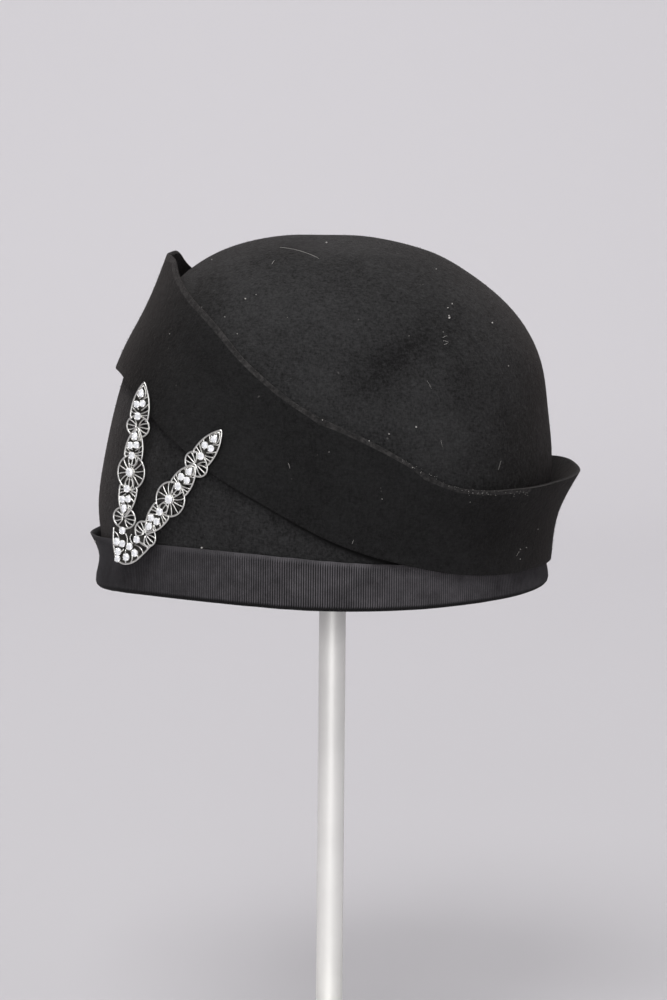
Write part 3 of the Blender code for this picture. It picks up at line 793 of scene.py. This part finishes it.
def add_nap(made, seed):
    felt = bpy.context.scene.cloche_felt
    spots, normals, random = scattered(made, felt.nap_count, seed)
    places = []
    for spot, normal in zip(spots, normals):
        normal = Vector(normal)
        lean = Vector(random.normal(size=3)) * NAP_LEAN + normal
        if lean.dot(normal) < NAP_LEAST * lean.length:
            lean += normal * (NAP_SET * lean.length - lean.dot(normal))
        long = felt.nap_length * (0.35 + 0.65 * random.random() ** 2)
        turned = lean.to_track_quat("Z", "Y").to_matrix().to_4x4()
        size = Matrix.Diagonal((felt.nap_width / 2, felt.nap_width / 2, long, 1))
        places.append(Matrix.Translation(Vector(spot)) @ turned @ size)
    fibre = bmesh.new()
    bmesh.ops.create_cone(fibre, segments=3, radius1=1, radius2=0.25, depth=1, cap_ends=False)
    bmesh.ops.translate(fibre, verts=fibre.verts, vec=(0, 0, 0.45))
    mesh = repeated(f"{made.name}_nap", fibre, places)
    return dressed(f"{made.name}_nap", mesh, nap_finish())


class CLOCHE_OT_nap(bpy.types.Operator):
    """Adds the loose fibres that stand out of the felt"""

    bl_idname = "cloche.nap"
    bl_label = "Felt nap"

    def execute(self, context):
        for seed, name in enumerate(("crown_felt", "cuff_felt")):
            add_nap(bpy.data.objects[name], seed + 1)
        return {"FINISHED"}


# Ribbon


RIBBON_DENTS = (
    (4, 0.2475, 0.0022, 9, 0.0025),
    (8, 0.2370, -0.0016, 11, 0.0045),
    (6, 0.2275, 0.0014, 16, 0.0030),
    (27, 0.2360, 0.0008, 6, 0.0080),
    (38, 0.2340, -0.0010, 5, 0.0080),
    (17, 0.2330, -0.0010, 4, 0.0070),
)


class Round:
    """The ribbon's solid, read all round the hat: the heights of its edges, and its faces."""

    def __init__(self, node):
        bm = copied(node)
        eased(bm, BACK_AND_FRONT)
        eased(bm, RIBBON_DENTS)
        mesh = subdivided(bm, 2)
        spots = np.array([v.co for v in mesh.vertices])
        self.tree = sight_tree(mesh)
        low, high = spots.min(axis=0), spots.max(axis=0)
        self.middle = Vector(((low[0] + high[0]) / 2, (low[1] + high[1]) / 2, 0))
        turns = np.arctan2(spots[:, 0] - self.middle.x, -(spots[:, 1] - self.middle.y))
        count = 96
        slots = np.round(turns / FULL_TURN * count).astype(int) % count
        self.turns = np.arange(count) * FULL_TURN / count
        heights = [spots[slots == k, 2] for k in range(count)]
        self.rows = [[h.min() for h in heights], [h.max() for h in heights]]

    def ends(self, turn):
        """The heights of the ribbon's lower and upper edge."""
        return [np.interp(turn % FULL_TURN, self.turns, row, period=FULL_TURN) for row in self.rows]

    def reach(self, turn, height, inside=False):
        """How far the outer or the inner face is from the middle."""
        way = Vector((math.sin(turn), -math.cos(turn), 0))
        middle = self.middle + UP * height
        start, cast = (middle, way) if inside else (middle + way * 0.2, -way)
        hit = self.tree.ray_cast(start, cast)[0]
        if hit is None:
            raise RuntimeError(f"no ribbon at {math.degrees(turn):.0f} degrees, {height:.4f} m")
        return (hit - middle).length


def even_turns(guide, count):
    """Turns at even distances round the ribbon."""
    steps = np.linspace(0, FULL_TURN, 361)
    reaches = np.array([guide.reach(t, guide.ends(t)[0] + 0.010) for t in steps[:-1]])
    reaches = np.append(reaches, reaches[0])
    spots = np.stack([reaches * np.sin(steps), -reaches * np.cos(steps)], axis=1)
    along = np.concatenate([[0], np.cumsum(np.linalg.norm(np.diff(spots, axis=0), axis=1))])
    return np.interp(np.arange(count) / count * along[-1], along, steps), along[-1]


class CLOCHE_OT_ribbon(bpy.types.Operator):
    """Adds the ribbed ribbon, turned under the rim"""

    bl_idname = "cloche.ribbon"
    bl_label = "Ribbed ribbon"

    def execute(self, context):
        ribbon = context.scene.cloche_ribbon
        guide = Round("ribbon_band")
        per_rib = 4
        columns = ribbon.ribs * per_rib
        turns, around = even_turns(guide, columns)
        outer_rows, roll_rows, inner_rows = 9, 5, 3
        roll = 2.6 * MM
        rows = outer_rows + roll_rows + inner_rows
        bm = bmesh.new()
        bmesh.ops.create_grid(bm, x_segments=columns, y_segments=rows - 1, size=0.5)
        bm.verts.ensure_lookup_table()
        groove = bm.verts.layers.float.new("groove")
        bright = bm.verts.layers.float.new("bright")
        half = ribbon.wall / 2
        sections = []
        for turn in turns:
            low, high = guide.ends(turn)
            inner = guide.reach(turn, low + 0.004, inside=True) + half
            heights = np.linspace(high - 0.0001, low + roll, outer_rows)
            outer = [guide.reach(turn, float(h) - 0.0001) - half for h in heights]
            middle, swing = (outer[-1] + inner) / 2, (outer[-1] - inner) / 2
            section = list(zip(outer, heights))
            depth = heights[-1] - low - half
            for k in range(1, roll_rows + 1):
                sweep = math.pi * k / (roll_rows + 1)
                reach = middle + swing * math.cos(sweep)
                section.append((reach, heights[-1] - depth * math.sin(sweep)))
            for rise in np.linspace(0, ribbon.turn_in - roll, inner_rows):
                section.append((inner, heights[-1] + rise))
            sections.append(section)
        for vert in bm.verts:
            column = round((vert.co.x + 0.5) * columns)
            row = round((0.5 - vert.co.y) * (rows - 1))
            turn = turns[column % columns]
            reach, height = sections[column % columns][row]
            rib = (1.0, 0.75, 0.0, 0.25)[column % per_rib]
            on_face = row < outer_rows + 2
            high = sections[column % columns][0][1]
            plain = min((high - height) / ribbon.selvedge, 1) if on_face else 0.4
            degrees = math.degrees(turn)
            # Painted sheen on the ribs, strongest on the side that faces the lights, fading round
            # the back.
            shown = ramp(degrees, 8, 60) * bell(max(degrees - 120, 0), 85)
            vert[bright] = shown * (0.46 + 0.54 * bell(degrees - 93, 31))
            # Painted shade in the grooves, deepest on the side that faces the lights.
            vert[groove] = (1 - rib) * plain * (0.50 + 0.50 * bell(degrees - 88, 24))
            # Painted shade over the roll under the rim and up inside.
            if row >= outer_rows:
                vert[groove] = 0.6
            reach -= ribbon.rib_depth * (1 - rib) * plain if on_face else 0
            spot = Vector((reach * math.sin(turn), -reach * math.cos(turn), height))
            vert.co = guide.middle + spot
        bmesh.ops.remove_doubles(bm, verts=bm.verts, dist=0.000005)
        finish = ribbon_finish()
        made = piece("ribbed_ribbon", bm, finish, ["ribbon_band"])
        wall = made.modifiers.new("Wall", "SOLIDIFY")
        wall.thickness = ribbon.wall
        wall.offset = 0
        return {"FINISHED"}


# Brooch

FACING, LEAN, BEND = math.radians(57), math.radians(5), 0.300
PITCH = 0.0200
OUT = Vector(
    (math.cos(LEAN) * math.sin(FACING), -math.cos(LEAN) * math.cos(FACING), math.sin(LEAN))
)
ACROSS = UP.cross(OUT).normalized()
BROOCH_UP = OUT.cross(ACROSS)
ARMS = ((-0.019, 1.927, 83.0), (1.074, 1.427, 52.2))
WHEEL_STONE, WHEEL_STONE_LIFT = STONE_NODES[9], 0.00145
WHEEL, WHEEL_SPOKES, FAN_WIDE, FAN_LONG = 0.0078, 14, 0.0066, 0.0050
LEAF_WIDE, LEAF_LONG, LEAF_FULL = 0.0053, 0.0152, 2.3
RIM_TOP = 0.5 * MM
FOOT_LINE = (
    (-0.44, 0.72),
    (-0.44, 0.43),
    (-0.38, 0.17),
    (-0.29, 0.00),
    (-0.11, -0.07),
    (0.08, -0.05),
    (0.24, 0.02),
    (0.39, 0.14),
    (0.54, 0.28),
    (0.66, 0.42),
)


def bent(x, y):
    """A point of the bent plane of the brooch, and the way out of it, from the V's own corner."""
    turn = (x - PITCH) / BEND
    way = ACROSS * math.sin(turn) + OUT * math.cos(turn)
    return ACROSS * PITCH + BROOCH_UP * y - OUT * BEND + way * BEND, way


def bend_on(bm):
    """Bends the brooch, drawn flat with its back at height 0, onto the hat at one of its stones."""
    spot, way = bent(ARMS[0][0] * PITCH, ARMS[0][1] * PITCH)
    low, high = (Vector(end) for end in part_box(WHEEL_STONE))
    corner = (low + high) / 2 - spot - way * WHEEL_STONE_LIFT
    for vert in bm.verts:
        spot, way = bent(vert.co.x, vert.co.y)
        vert.co = corner + spot + way * vert.co.z


def arm_place(arm):
    across, up, lean = arm
    return Matrix.Translation((across * PITCH, up * PITCH, 0)) @ Matrix.Rotation(
        math.radians(lean - 90), 4, "Z"
    )


def leaf_starts():
    """Where the leaves of an arm start, which way they point and how long they are."""
    outer = PITCH + FAN_LONG - 0.0008
    inner = WHEEL - 0.0008
    return ((outer, 1, LEAF_LONG), (inner, 1, PITCH - inner), (-inner, -1, PITCH - inner))


def ring(bm, wide, long, wire_radius, lift, place, steps=48):
    points = [
        place @ Vector((wide * math.cos(t), long * math.sin(t), lift))
        for t in np.linspace(0, FULL_TURN, steps, endpoint=False)
    ]
    wire(bm, points, wire_radius, closed=True)


def add_bars(bm, place, routes, size):
    """Thin curved wires, each through three points of across, up and lift."""
    for route in routes:
        start, middle, end = (place @ Vector(spot) for spot in route)
        pull = middle * 2 - (start + end) / 2
        curve = [
            start * (1 - t) ** 2 + pull * 2 * t * (1 - t) + end * t**2 for t in np.linspace(0, 1, 7)
        ]
        wire(bm, curve, size, 6)


def add_wheel(bm, place, rim, rib):
    ring(bm, WHEEL - rim, WHEEL - rim, rim, 0.0, place)
    ring(bm, 0.0019, 0.0019, rib, 0.0003, place, 20)
    lift = UP * 0.0003
    routes = []
    for k in range(WHEEL_SPOKES):
        turn = FULL_TURN * (k + 0.5) / WHEEL_SPOKES
        way, later = (
            Vector((math.cos(t), math.sin(t), 0)) for t in (turn, turn + 0.10 * math.sin(2 * turn))
        )
        end = later * (WHEEL - rim) - UP * 0.0001
        routes.append((way * 0.0020 + lift, way * 0.0046 + lift, end))
    add_bars(bm, place, routes, rib)
    for side in (1, -1):
        lobe = [
            lift + Vector((0.0021 * math.sin(t), side * (0.0050 - 0.0021 * math.cos(t)), 0))
            for t in np.linspace(0, FULL_TURN, 12, endpoint=False)
        ]
        wire(bm, [place @ spot for spot in lobe], rib, 6, closed=True)


def add_fan(bm, place, rim, rib):
    ring(bm, FAN_WIDE - rim, FAN_LONG - rim, rim, 0.0, place, 36)
    routes = []
    for side in (1, -1):
        for k in (-2, -1, 0, 1, 2):
            turn = math.radians(27 * k)
            start = Vector((side * 0.0006, 0.0003 * k, 0.0002))
            end = Vector((side * math.cos(turn) * FAN_WIDE, math.sin(turn) * FAN_LONG, 0)) * 0.93
            middle = start.lerp(end, 0.5) + Vector((0, 0.00045 * k, 0.0002))
            routes.append((start, middle, end))
    add_bars(bm, place, routes, rib)


def leaf_half(along):
    return LEAF_WIDE * (1 - along**LEAF_FULL)


def add_leaf(bm, place, long, rim, rib):
    shares = np.linspace(0, 1, 14) ** 0.8
    side = [(leaf_half(q) - rim * (1 - q), q * long) for q in shares]
    side = [(LEAF_WIDE * 0.70, -0.085 * long), (LEAF_WIDE * 0.88, -0.045 * long), *side]
    outline = [*side[:-1], (0, long - rim), *[(-x, y) for x, y in side[-2::-1]]]
    wire(bm, [place @ Vector((x, y, 0.0002)) for x, y in outline], rim)
    routes = []
    for way in (1, -1):
        for low, high in ((0.05, 0.10), (0.10, 0.24), (0.20, 0.42), (0.50, 0.62)):
            start = Vector((way * 0.0008, low * long, 0.0003))
            end = Vector((way * (leaf_half(high) - rim), high * long, 0.0002))
            along = (low * 0.62 + high * 0.38) * long
            middle = Vector((way * leaf_half(high) * 0.5, along, 0.0003))
            routes.append((start, middle, end))
        start = Vector((way * 0.0006, 0.52 * long, 0.0002))
        end = Vector((0, 0.90 * long, 0.0002))
        routes.append((start, Vector((way * 0.0019, 0.68 * long, 0.0003)), end))
    add_bars(bm, place, routes, rib)


FOOT_BARS = (
    ((-0.40, 0.62), (-0.27, 0.52), (-0.20, 0.30)),
    ((-0.42, 0.36), (-0.28, 0.32), (-0.16, 0.40)),
    ((-0.36, 0.12), (-0.24, 0.14), (-0.10, 0.26)),
    ((-0.12, 0.62), (-0.02, 0.50), (-0.04, 0.28)),
    ((-0.02, -0.04), (-0.06, 0.10), (-0.04, 0.26)),
    ((0.10, -0.02), (0.15, 0.10), (0.10, 0.24)),
    ((0.30, 0.08), (0.28, 0.20), (0.18, 0.30)),
    ((0.44, 0.20), (0.36, 0.32), (0.20, 0.38)),
    ((0.56, 0.32), (0.44, 0.42), (0.24, 0.44)),
    ((0.10, 0.60), (0.06, 0.50), (0.14, 0.40)),
)


def add_foot(bm, rim, rib):
    line = [Vector((x, y, 0)) * PITCH for x, y in FOOT_LINE]
    inward = Vector((0.05, 0.35, 0)) * PITCH
    points = [p + (inward - p).normalized() * rim for p in line]
    smooth = []
    for k in range(len(points) - 1):
        before, after = points[max(k - 1, 0)], points[min(k + 2, len(points) - 1)]
        one, other = points[k], points[k + 1]
        for t in (0, 0.34, 0.67):
            slide = (other - before) * 0.5 * t * (1 - t) ** 2
            slide -= (after - one) * 0.5 * t * t * (1 - t)
            smooth.append(one.lerp(other, t * t * (3 - 2 * t)) + slide)
    wire(bm, [*smooth, points[-1]], rim)
    routes = [[Vector((x, y, 0)) * PITCH + UP * 0.0002 for x, y in bar] for bar in FOOT_BARS]
    add_bars(bm, Matrix.Identity(4), routes, rib)


def stone_frames():
    """For each stone of the brooch: its middle, its way out and its radius."""
    found = []
    for name in STONE_NODES:
        mesh = NODES[name].data
        spots = np.array([v.co for v in mesh.vertices])
        middle = Vector((spots.min(axis=0) + spots.max(axis=0)) / 2)
        table = max(mesh.polygons, key=lambda face: face.center.dot(OUT))
        way = table.normal.copy()
        centred = spots - np.array(middle)
        flat = centred - np.outer(centred @ np.array(way), np.array(way))
        found.append((name, middle, way, float(np.linalg.norm(flat, axis=1).max())))
    return found


def stone_turn(way, aim=UP):
    side = aim.cross(way).normalized()
    return Matrix((side, way.cross(side), way)).transposed().to_4x4()


STONE_HEIGHT, ROUND_SHARE, PEAR_SHARE = 1.3 * MM, 1.08, 0.92
# The stones that are pears, and the stone that each points away from.
PEARS = {14: 11, 18: 15, 22: 19, 27: 24, 31: 28, 35: 32}


class CLOCHE_OT_brooch(bpy.types.Operator):
    """Adds the openwork brooch: a pierced plate, its wires and the cups of its stones"""

    bl_idname = "cloche.brooch"
    bl_label = "Silver brooch"

    def execute(self, context):
        brooch = context.scene.cloche_brooch
        rim, rib = brooch.rim_wire / 2, brooch.rib_wire / 2
        finish = silver_finish()
        bm = bmesh.new()
        for arm in ARMS:
            place = arm_place(arm)
            add_wheel(bm, place, rim, rib)
            for end in (1, -1):
                add_fan(bm, place @ Matrix.Translation((0, end * PITCH, 0)), rim, rib)
            for start, way, long in leaf_starts():
                turned = Matrix.Rotation(0 if way > 0 else math.pi, 4, "Z")
                add_leaf(bm, place @ Matrix.Translation((0, start, 0)) @ turned, long, rim, rib)
        add_foot(bm, rim, rib)
        bmesh.ops.translate(bm, verts=bm.verts, vec=(0, 0, RIM_TOP - rim))
        recess = bm.verts.layers.float.new("recess")
        for vert in bm.verts:
            vert[recess] = 1 - ramp(vert.co.z, -0.00034, 0.0008)
        bend_on(bm)
        bmesh.ops.recalc_face_normals(bm, faces=bm.faces)
        wires = piece("brooch_wires", bm, finish)
        plate = copied("brooch_frame")
        bmesh.ops.dissolve_limit(
            plate, angle_limit=math.radians(4), verts=plate.verts, edges=plate.edges
        )
        recess = plate.verts.layers.float.new("recess")
        for vert in plate.verts:
            vert[recess] = 1.0
            faces = [f for f in vert.link_faces if f.normal.dot(OUT) > 0.7]
            if faces:
                vert.co -= faces[0].normal * brooch.plate_drop
        piece("brooch_plate", plate, finish, ["brooch_frame"], 30)
        cups = []
        for _, middle, way, radius in stone_frames():
            place = Matrix.Translation(middle - way * 0.0009) @ stone_turn(way)
            cups.append(place @ Matrix.Diagonal((radius, radius, MM, 1)))
        cup_mesh = repeated("brooch_cups", cup_shape(), cups)
        dressed("brooch_cups", cup_mesh, finish, (), 35)
        coated("brooch_pin", finish)
        return {"FINISHED"}


def cup_shape():
    """A stone's cup with four claws, for a stone of radius 1, drawn in millimetres of height."""
    bm = bmesh.new()
    bmesh.ops.create_cone(bm, segments=16, radius1=0.86, radius2=1.10, depth=1.1, cap_ends=False)
    bmesh.ops.translate(bm, verts=bm.verts, vec=(0, 0, 0.35))
    for k in range(4):
        turn = FULL_TURN * (k + 0.5) / 4
        spot = Matrix.Translation((0.98 * math.cos(turn), 0.98 * math.sin(turn), 1.0))
        claw = bmesh.ops.create_icosphere(bm, subdivisions=1, radius=0.2, matrix=spot)["verts"]
        bmesh.ops.scale(bm, verts=claw, vec=(1, 1, 1.5), space=spot.inverted())
    return bm


def stone_shape(radius, high, pear):
    """A brilliant cut: a girdle of sixteen corners, eight kites and a flat table."""
    bm = bmesh.new()
    levels = ((16, 1.0, 0.30), (8, 0.82, 0.72), (8, 0.55, 1.0), (8, 0.55, 0.0))
    for k, (sides, share, height) in enumerate(levels):
        turned = Matrix.Rotation(math.pi / 8 * (k % 2), 4, "Z")
        place = Matrix.Translation((0, 0, (height - 0.5) * high)) @ turned
        bmesh.ops.create_circle(bm, segments=sides, radius=share * radius, matrix=place)
    bmesh.ops.convex_hull(bm, input=bm.verts)
    bmesh.ops.dissolve_limit(bm, angle_limit=math.radians(1), verts=bm.verts, edges=bm.edges)
    if pear:
        for vert in bm.verts:
            share = vert.co.y / radius
            if share > 0:
                vert.co.x *= 1 - 0.5 * share**2
                vert.co.y *= 1 + 0.55 * share
    return bm


class CLOCHE_OT_stones(bpy.types.Operator):
    """Adds the cut stones in place of their solids"""

    bl_idname = "cloche.stones"
    bl_label = "Cut stones"

    def execute(self, context):
        finish = stone_finish()
        frames = stone_frames()
        for index, (name, middle, way, radius) in enumerate(frames, 1):
            pear = index in PEARS
            share = PEAR_SHARE if pear else ROUND_SHARE
            bm = stone_shape(radius * share, STONE_HEIGHT, pear)
            aim = middle - frames[PEARS[index] - 1][1] if pear else UP
            place = Matrix.Translation(middle) @ stone_turn(way, aim)
            bmesh.ops.transform(bm, matrix=place, verts=bm.verts)
            piece(f"crystal_{index:02d}", bm, finish, [name], 0)
        return {"FINISHED"}


# Stand


def turned_piece(name, profile, steps, rounding, finish, replaced):
    """A piece turned about the stand's axis, from a profile of radius and height."""
    bm = bmesh.new()
    verts = [bm.verts.new((radius, 0, height)) for radius, height in profile]
    for one, other in zip(verts, verts[1:]):
        bm.edges.new((one, other))
    bmesh.ops.spin(
        bm,
        geom=bm.verts[:] + bm.edges[:],
        cent=(0, 0, 0),
        axis=(0, 0, 1),
        angle=FULL_TURN,
        steps=steps,
        use_merge=True,
    )
    bmesh.ops.remove_doubles(bm, verts=bm.verts, dist=0.00001)
    bmesh.ops.recalc_face_normals(bm, faces=bm.faces)
    rounded(bm, sharp_edges(bm, 35), rounding, 3)
    return piece(name, bm, finish, [replaced], 40)


class CLOCHE_OT_stand(bpy.types.Operator):
    """Adds the satin pole, its foot and the cap that carries the hat"""

    bl_idname = "cloche.stand"
    bl_label = "Satin stand"

    def execute(self, context):
        pale = metal_finish("satin_metal", 0.45)
        finish = metal_finish("satin_steel", 0.85)
        low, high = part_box("stand_pole")
        radius, foot, top = high[0], low[2], high[2]
        profile = [(0, foot), (radius, foot), (radius, top), (0, top)]
        turned_piece("satin_pole", profile, 64, 0.4 * MM, pale, "stand_pole")
        low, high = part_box("stand_base")
        wide, top = high[0], high[2]
        plate, wall, clearance = 10 * MM, 4 * MM, 0.3 * MM
        edge = context.scene.cloche_stand.edge_round
        socket, collar = radius + clearance, radius + clearance + wall
        profile = [
            (0, 0),
            (wide - edge, 0),
            (wide, edge),
            (wide, plate - edge),
            (wide - edge, plate),
            (collar, plate),
            (collar, top),
            (socket, top),
            (socket, plate / 2),
            (0, plate / 2),
        ]
        turned_piece("satin_foot", profile, 96, 0.7 * MM, finish, "stand_base")
        coated("stand_seat", finish)
        return {"FINISHED"}


# Camera

# The photograph's pixels and the sensor's height in millimetres.
PHOTO_COLUMNS, PHOTO_ROWS, SENSOR = 667, 1000, 36


def camera_place():
    """Where the camera is, and its axes: right, up and backward."""
    stage = bpy.context.scene.cloche_stage
    azimuth, elevation = stage.azimuth, stage.elevation
    across = -math.cos(azimuth) * math.cos(elevation)
    back = Vector((math.sin(azimuth) * math.cos(elevation), across, math.sin(elevation)))
    right = UP.cross(back).normalized()
    turned = right * math.cos(stage.roll) + back.cross(right) * math.sin(stage.roll)
    axes = Matrix((turned, back.cross(turned), back)).transposed()
    return UP * stage.aim + back * stage.distance, axes


class Surface:
    """The dressed hat, met by sight lines from the camera through the photograph's pixels."""

    def __init__(self, names):
        self.trees = [sight_tree(final_mesh(bpy.data.objects[name])) for name in names]
        self.place, self.axes = camera_place()
        self.focus = bpy.context.scene.cloche_stage.lens / SENSOR * PHOTO_ROWS

    def at(self, u, v):
        """The point that the photograph shows at a pixel, and its normal."""
        across, down = PHOTO_COLUMNS / 2, PHOTO_ROWS / 2
        sight = (self.axes @ Vector((u - across, down - v, -self.focus))).normalized()
        hits = [tree.ray_cast(self.place, sight) for tree in self.trees]
        hits = [hit for hit in hits if hit[0] is not None]
        if not hits:
            raise RuntimeError(f"no hat at {u}, {v}")
        spot, normal = min(hits, key=lambda hit: hit[3])[:2]
        return spot, -normal if normal.dot(sight) > 0 else normal


# Lint

# Across and down the photograph in pixels, and the size in millimetres.
SPECKS = (
    (449, 318, 0.85),
    (449, 316, 0.6),
    (452, 304, 0.6),
    (447.5, 308, 0.5),
    (492, 323, 0.6),
    (443, 332, 0.35),
    (436, 269.5, 0.4),
    (409, 336, 0.35),
    (508, 366, 0.35),
    (326.5, 243, 0.75),
    (245.5, 299, 0.6),
    (256, 295, 0.4),
    (212, 260, 0.4),
    (225, 317, 0.4),
    (202, 307.5, 0.35),
    (237.5, 334, 0.35),
    (170, 334, 0.3),
    (287.5, 317.5, 0.3),
    (416, 427, 0.75),
    (389, 434, 0.55),
    (322.5, 420, 0.5),
    (369, 441, 0.45),
    (412.5, 467.5, 0.5),
    (329, 452, 0.3),
    (382, 499, 0.3),
    (202, 547.5, 0.8),
    (520, 559, 0.5),
    (520, 549, 0.4),
    (526, 547.5, 0.35),
    (537.5, 529, 0.3),
    (470, 502, 0.3),
    (95.5, 541, 0.8),
)
# Both ends of each stroke in pixels, its bow in pixels and its width in millimetres.
STROKES = (
    (280, 248, 319, 259, 2.2, 0.20),
    (274.5, 261, 272, 264.5, 0.2, 0.30),
    (288.5, 463, 290, 468.5, 0.2, 0.22),
    (353.5, 540, 352, 544, 0.2, 0.20),
    (500.5, 461, 498, 470, 0.4, 0.16),
    (442.5, 338, 446.5, 336, 0.3, 0.20),
    (443, 341, 448, 342.5, 0.4, 0.22),
    (444, 345, 447.5, 343.5, 0.2, 0.20),
    (440.5, 440, 442, 447, 0.5, 0.12),
    (519, 551, 516, 556, 0.3, 0.14),
    (427, 381, 431, 389, 0.6, 0.12),
)
# A row of specks: where it starts and ends across the photograph, how many, and how far they stray.
ROW = {"start": 402, "end": 530, "count": 60, "spread": 1.6}
# How far specks and hairs lie off the felt.
SPECK_LIFT, HAIR_LIFT = 0.0002, 0.0003


def cut_edge_at(u):
    """How far down the photograph the cuff's cut edge is behind."""
    return 457 + 36 * (1 - (1 - min((u - 400) / 78, 1)) ** 1.5)


def add_row(bm, surface, random, start, end, count, spread):
    """Specks along the cuff's cut edge behind, where it has gathered lint."""
    for _ in range(count):
        u = start + (end - start) * random.random()
        spot, normal = surface.at(u, cut_edge_at(u) + random.normal() * spread)
        size = 0.055 * MM * (1 + random.random() * 2.2)
        place = Matrix.Translation(spot + normal * SPECK_LIFT)
        bmesh.ops.create_icosphere(bm, subdivisions=1, radius=size, matrix=place)


class CLOCHE_OT_lint(bpy.types.Operator):
    """Adds the pale specks and hairs that lie on the felt"""

    bl_idname = "cloche.lint"
    bl_label = "Lint"

    def execute(self, context):
        surface = Surface(("crown_felt", "cuff_felt", "ribbed_ribbon"))
        random = np.random.default_rng(7)
        bm = bmesh.new()
        for u, v, size in SPECKS:
            spot, normal = surface.at(u, v)
            place = Matrix.Translation(spot + normal * SPECK_LIFT)
            speck = bmesh.ops.create_icosphere(
                bm, subdivisions=2, radius=size / 2 * MM, matrix=place
            )
            for vert in speck["verts"]:
                vert.co += (vert.co - spot) * (noise.noise(vert.co * 2500) * 0.8)
        for u1, v1, u2, v2, bow, width in STROKES:
            points = []
            for t in np.linspace(0, 1, 9):
                lift = 4 * t * (1 - t) * bow
                spot, normal = surface.at(u1 + (u2 - u1) * t, v1 + (v2 - v1) * t - lift)
                points.append(spot + normal * HAIR_LIFT)
            wire(bm, points, width * 0.3 * MM, 6, Vector((1, 0, 0)))
        add_row(bm, surface, random, **ROW)
        piece("pale_lint", bm, lint_finish())
        return {"FINISHED"}


# Stage


# Name, place and target in metres, size in metres, and power in watts.
LIGHTS = (
    ("key", (1.6, -0.4, 2.2), (0, 0, 0.33), (1.0, 1.0), 30),
    ("front", (2.4, -0.15, 0.55), (0, 0, 0.15), (0.9, 1.5), 24.5),
    ("overhead", (-0.1, -0.2, 2.4), (0, 0, 0.33), (1.2, 1.2), 20),
    ("backdrop_wash", (-0.9, 0, 3.2), (-3.0, 0, 0.9), (3.6, 1.2), 49),
)


def add_light(name, spot, target, size, power):
    data = bpy.data.lights.new(name, "AREA")
    data.shape = "RECTANGLE"
    data.size, data.size_y = size
    data.energy = power
    light = added(name, data)
    light.location = spot
    light.visible_camera = False
    light.rotation_euler = (Vector(target) - Vector(spot)).to_track_quat("-Z", "Y").to_euler()


def add_camera():
    place, axes = camera_place()
    data = bpy.data.cameras.new("photo_camera")
    data.lens = bpy.context.scene.cloche_stage.lens
    data.clip_start, data.clip_end = 0.05, 30
    camera = added("photo_camera", data)
    camera.location = place
    camera.rotation_euler = axes.to_euler()
    bpy.context.scene.camera = camera


class CLOCHE_OT_stage(bpy.types.Operator):
    """Adds the pale backdrop, the soft lights and the camera"""

    bl_idname = "cloche.stage"
    bl_label = "Stage"

    def execute(self, context):
        bm = bmesh.new()
        verts = [bm.verts.new((9, 0, 0)), bm.verts.new((-1.8, 0, 0))]
        bm.edges.new(verts)
        bmesh.ops.spin(
            bm, geom=[verts[1]], cent=(-1.8, 0, 1.2), axis=(0, 1, 0), angle=math.pi / 2, steps=24
        )
        top = min(bm.verts, key=lambda v: (v.co.x, -v.co.z))
        raised = bmesh.ops.extrude_vert_indiv(bm, verts=[top])["verts"]
        bmesh.ops.translate(bm, verts=raised, vec=(0, 0, 3))
        bmesh.ops.translate(bm, verts=bm.verts, vec=(0, -9, 0))
        swept = bmesh.ops.extrude_edge_only(bm, edges=bm.edges)["geom"]
        moved = [item for item in swept if isinstance(item, bmesh.types.BMVert)]
        bmesh.ops.translate(bm, verts=moved, vec=(0, 18, 0))
        bmesh.ops.recalc_face_normals(bm, faces=bm.faces)
        mesh = mesh_of(bm, "backdrop")
        mesh.shade_smooth()
        mesh.materials.append(paper_finish())
        added("backdrop", mesh)
        for light in LIGHTS:
            add_light(*light)
        world = bpy.data.worlds.new("studio")
        world.use_nodes = True
        ground = world.node_tree.nodes["Background"]
        ground.inputs["Color"].default_value = (0.95, 0.94, 0.98, 1)
        ground.inputs["Strength"].default_value = 0.20
        context.scene.world = world
        context.scene.view_settings.view_transform = "Standard"
        add_camera()
        return {"FINISHED"}


OPERATORS = (
    CLOCHE_OT_crown,
    CLOCHE_OT_cuff,
    CLOCHE_OT_nap,
    CLOCHE_OT_ribbon,
    CLOCHE_OT_lint,
    CLOCHE_OT_brooch,
    CLOCHE_OT_stones,
    CLOCHE_OT_stand,
    CLOCHE_OT_stage,
)


class CLOCHE_PT_panel(bpy.types.Panel):
    """Lists the pieces of the hat and their sizes and colours"""

    bl_idname = "CLOCHE_PT_panel"
    bl_label = "Cloche"
    bl_space_type = "VIEW_3D"
    bl_region_type = "UI"
    bl_category = "Cloche"

    def draw(self, context):
        for operator in OPERATORS:
            self.layout.operator(operator.bl_idname)
        for name, group in GROUPS.items():
            box = self.layout.box()
            for key in group.__annotations__:
                box.prop(getattr(context.scene, name), key)


def register():
    for name, group in GROUPS.items():
        bpy.utils.register_class(group)
        setattr(bpy.types.Scene, name, bpy.props.PointerProperty(type=group))
    for made in (*OPERATORS, CLOCHE_PT_panel):
        bpy.utils.register_class(made)


def unregister():
    for made in (CLOCHE_PT_panel, *reversed(OPERATORS)):
        bpy.utils.unregister_class(made)
    for name, group in GROUPS.items():
        delattr(bpy.types.Scene, name)
        bpy.utils.unregister_class(group)


def main():
    register()
    for operator in OPERATORS:
        family, name = operator.bl_idname.split(".")
        getattr(getattr(bpy.ops, family), name)()


if __name__ == "__main__":
    main()
